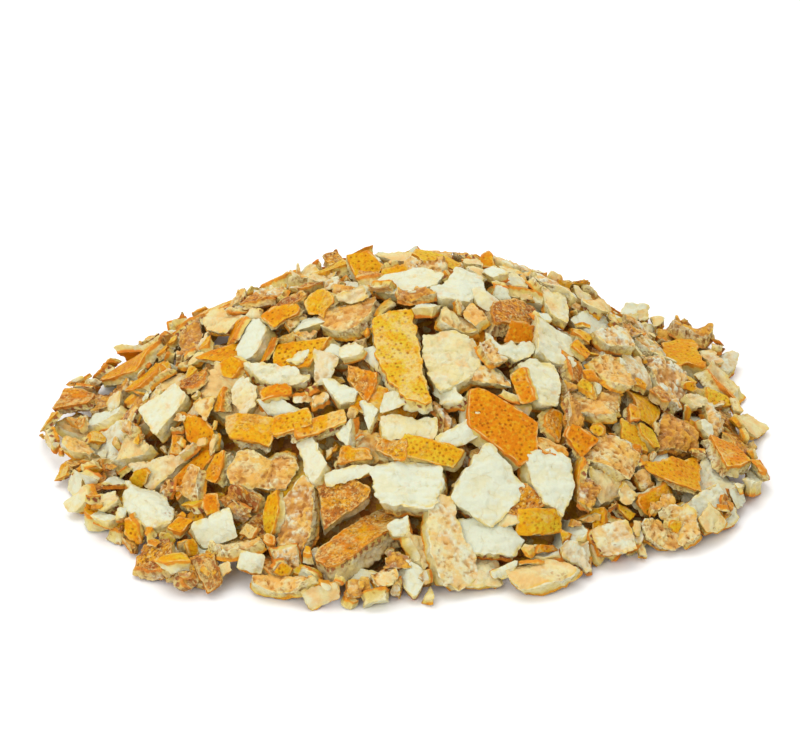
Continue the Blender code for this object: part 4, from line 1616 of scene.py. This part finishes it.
def crumbFinish():
    finish, tree, shader = newFinish("looseCrumbs", crumbLook)
    look = addNode(tree, "ShaderNodeAttribute", attribute_name="peelLook").outputs["Vector"]
    kind, warmth, _ = separated(tree, look)
    place = addNode(tree, "ShaderNodeTexCoord").outputs["Object"]
    colour = mixColour(tree, warmth, peelColours["white"], peelColours["cream"])
    colour = mixColour(tree, remap(tree, kind, 0.6, 0.65), colour, peelColours["amber"])
    colour = mixColour(tree, remap(tree, kind, 0.85, 0.9), colour, peelColours["tan"])
    colour = spotted(tree, place, colour, "tan", 0.5, 0.3 * mm, 0.45, 0.15)
    grain = placeGroup(tree, "grain", {"Place": place})["Height"]
    finishWith(tree, shader, colour, grain, crumbLook)
    return finish


crumbs = applied(crumbGround(), crumbTree(crumbFinish()), crumbPlan)
made.append((crumbs, "dried_peel"))
print("crumbs:", len(crumbs.data.polygons) // 20, "of them")

for piece, slot in made:
    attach(piece, "root")
    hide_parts("peel_heap")


# Floor, light and camera

stage = {
    "target": (0, 0, 9 * mm),
    "distance": 0.45,
    "width": 97 * mm,    # what the camera takes in at the target
    "floor": 0.86,
    "surround": 0.92,    # light from all sides
    "lights": [          # name, place, size in metres, power
        ("topLight", (-0.12, 0.05, 0.5), 0.35, 1.0),
        ("frontLight", (-0.25, -0.5, 0.35), 0.4, 1.6),
        ("backLight", (0.3, 0.5, 0.3), 0.4, 0.9),
    ],
}


def addFloor():
    bpy.ops.mesh.primitive_plane_add(size=6)
    floor = bpy.context.object
    floor.name = "floor"
    finish = bpy.data.materials.new("paleFloor")
    finish.use_nodes = True
    shader = finish.node_tree.nodes["Principled BSDF"]
    shader.inputs["Base Color"].default_value = (stage["floor"],) * 3 + (1,)
    shader.inputs["Roughness"].default_value = 0.7
    floor.data.materials.append(finish)


def addLight(name, place, size, power):
    light = bpy.data.lights.new(name, "AREA")
    light.size = size
    light.energy = power
    lamp = linked(name, light)
    lamp.location = place
    lamp.rotation_euler = (-Vector(place)).to_track_quat("-Z", "Y").to_euler()


def addCamera():
    camera = bpy.data.cameras.new("camera")
    camera.sensor_width = 36
    camera.lens = 36 * stage["distance"] / stage["width"]
    camera.clip_start = 0.01
    viewer = linked("camera", camera)
    angle = frontView["elevation"]
    back = Vector((0, -math.cos(angle), math.sin(angle)))
    viewer.location = Vector(stage["target"]) + back * stage["distance"]
    viewer.rotation_euler = (-back).to_track_quat("-Z", "Y").to_euler()
    bpy.context.scene.camera = viewer


def addStudio():
    studio = bpy.data.worlds.new("studio")
    studio.use_nodes = True
    background = studio.node_tree.nodes["Background"]
    background.inputs["Color"].default_value = (1, 1, 1, 1)
    background.inputs["Strength"].default_value = stage["surround"]
    bpy.context.scene.world = studio
    bpy.context.scene.view_settings.view_transform = "Standard"


addFloor()
for name, place, size, power in stage["lights"]:
    addLight(name, place, size, power)
addCamera()
addStudio()
print("stage set:", len(stage["lights"]), "lights")
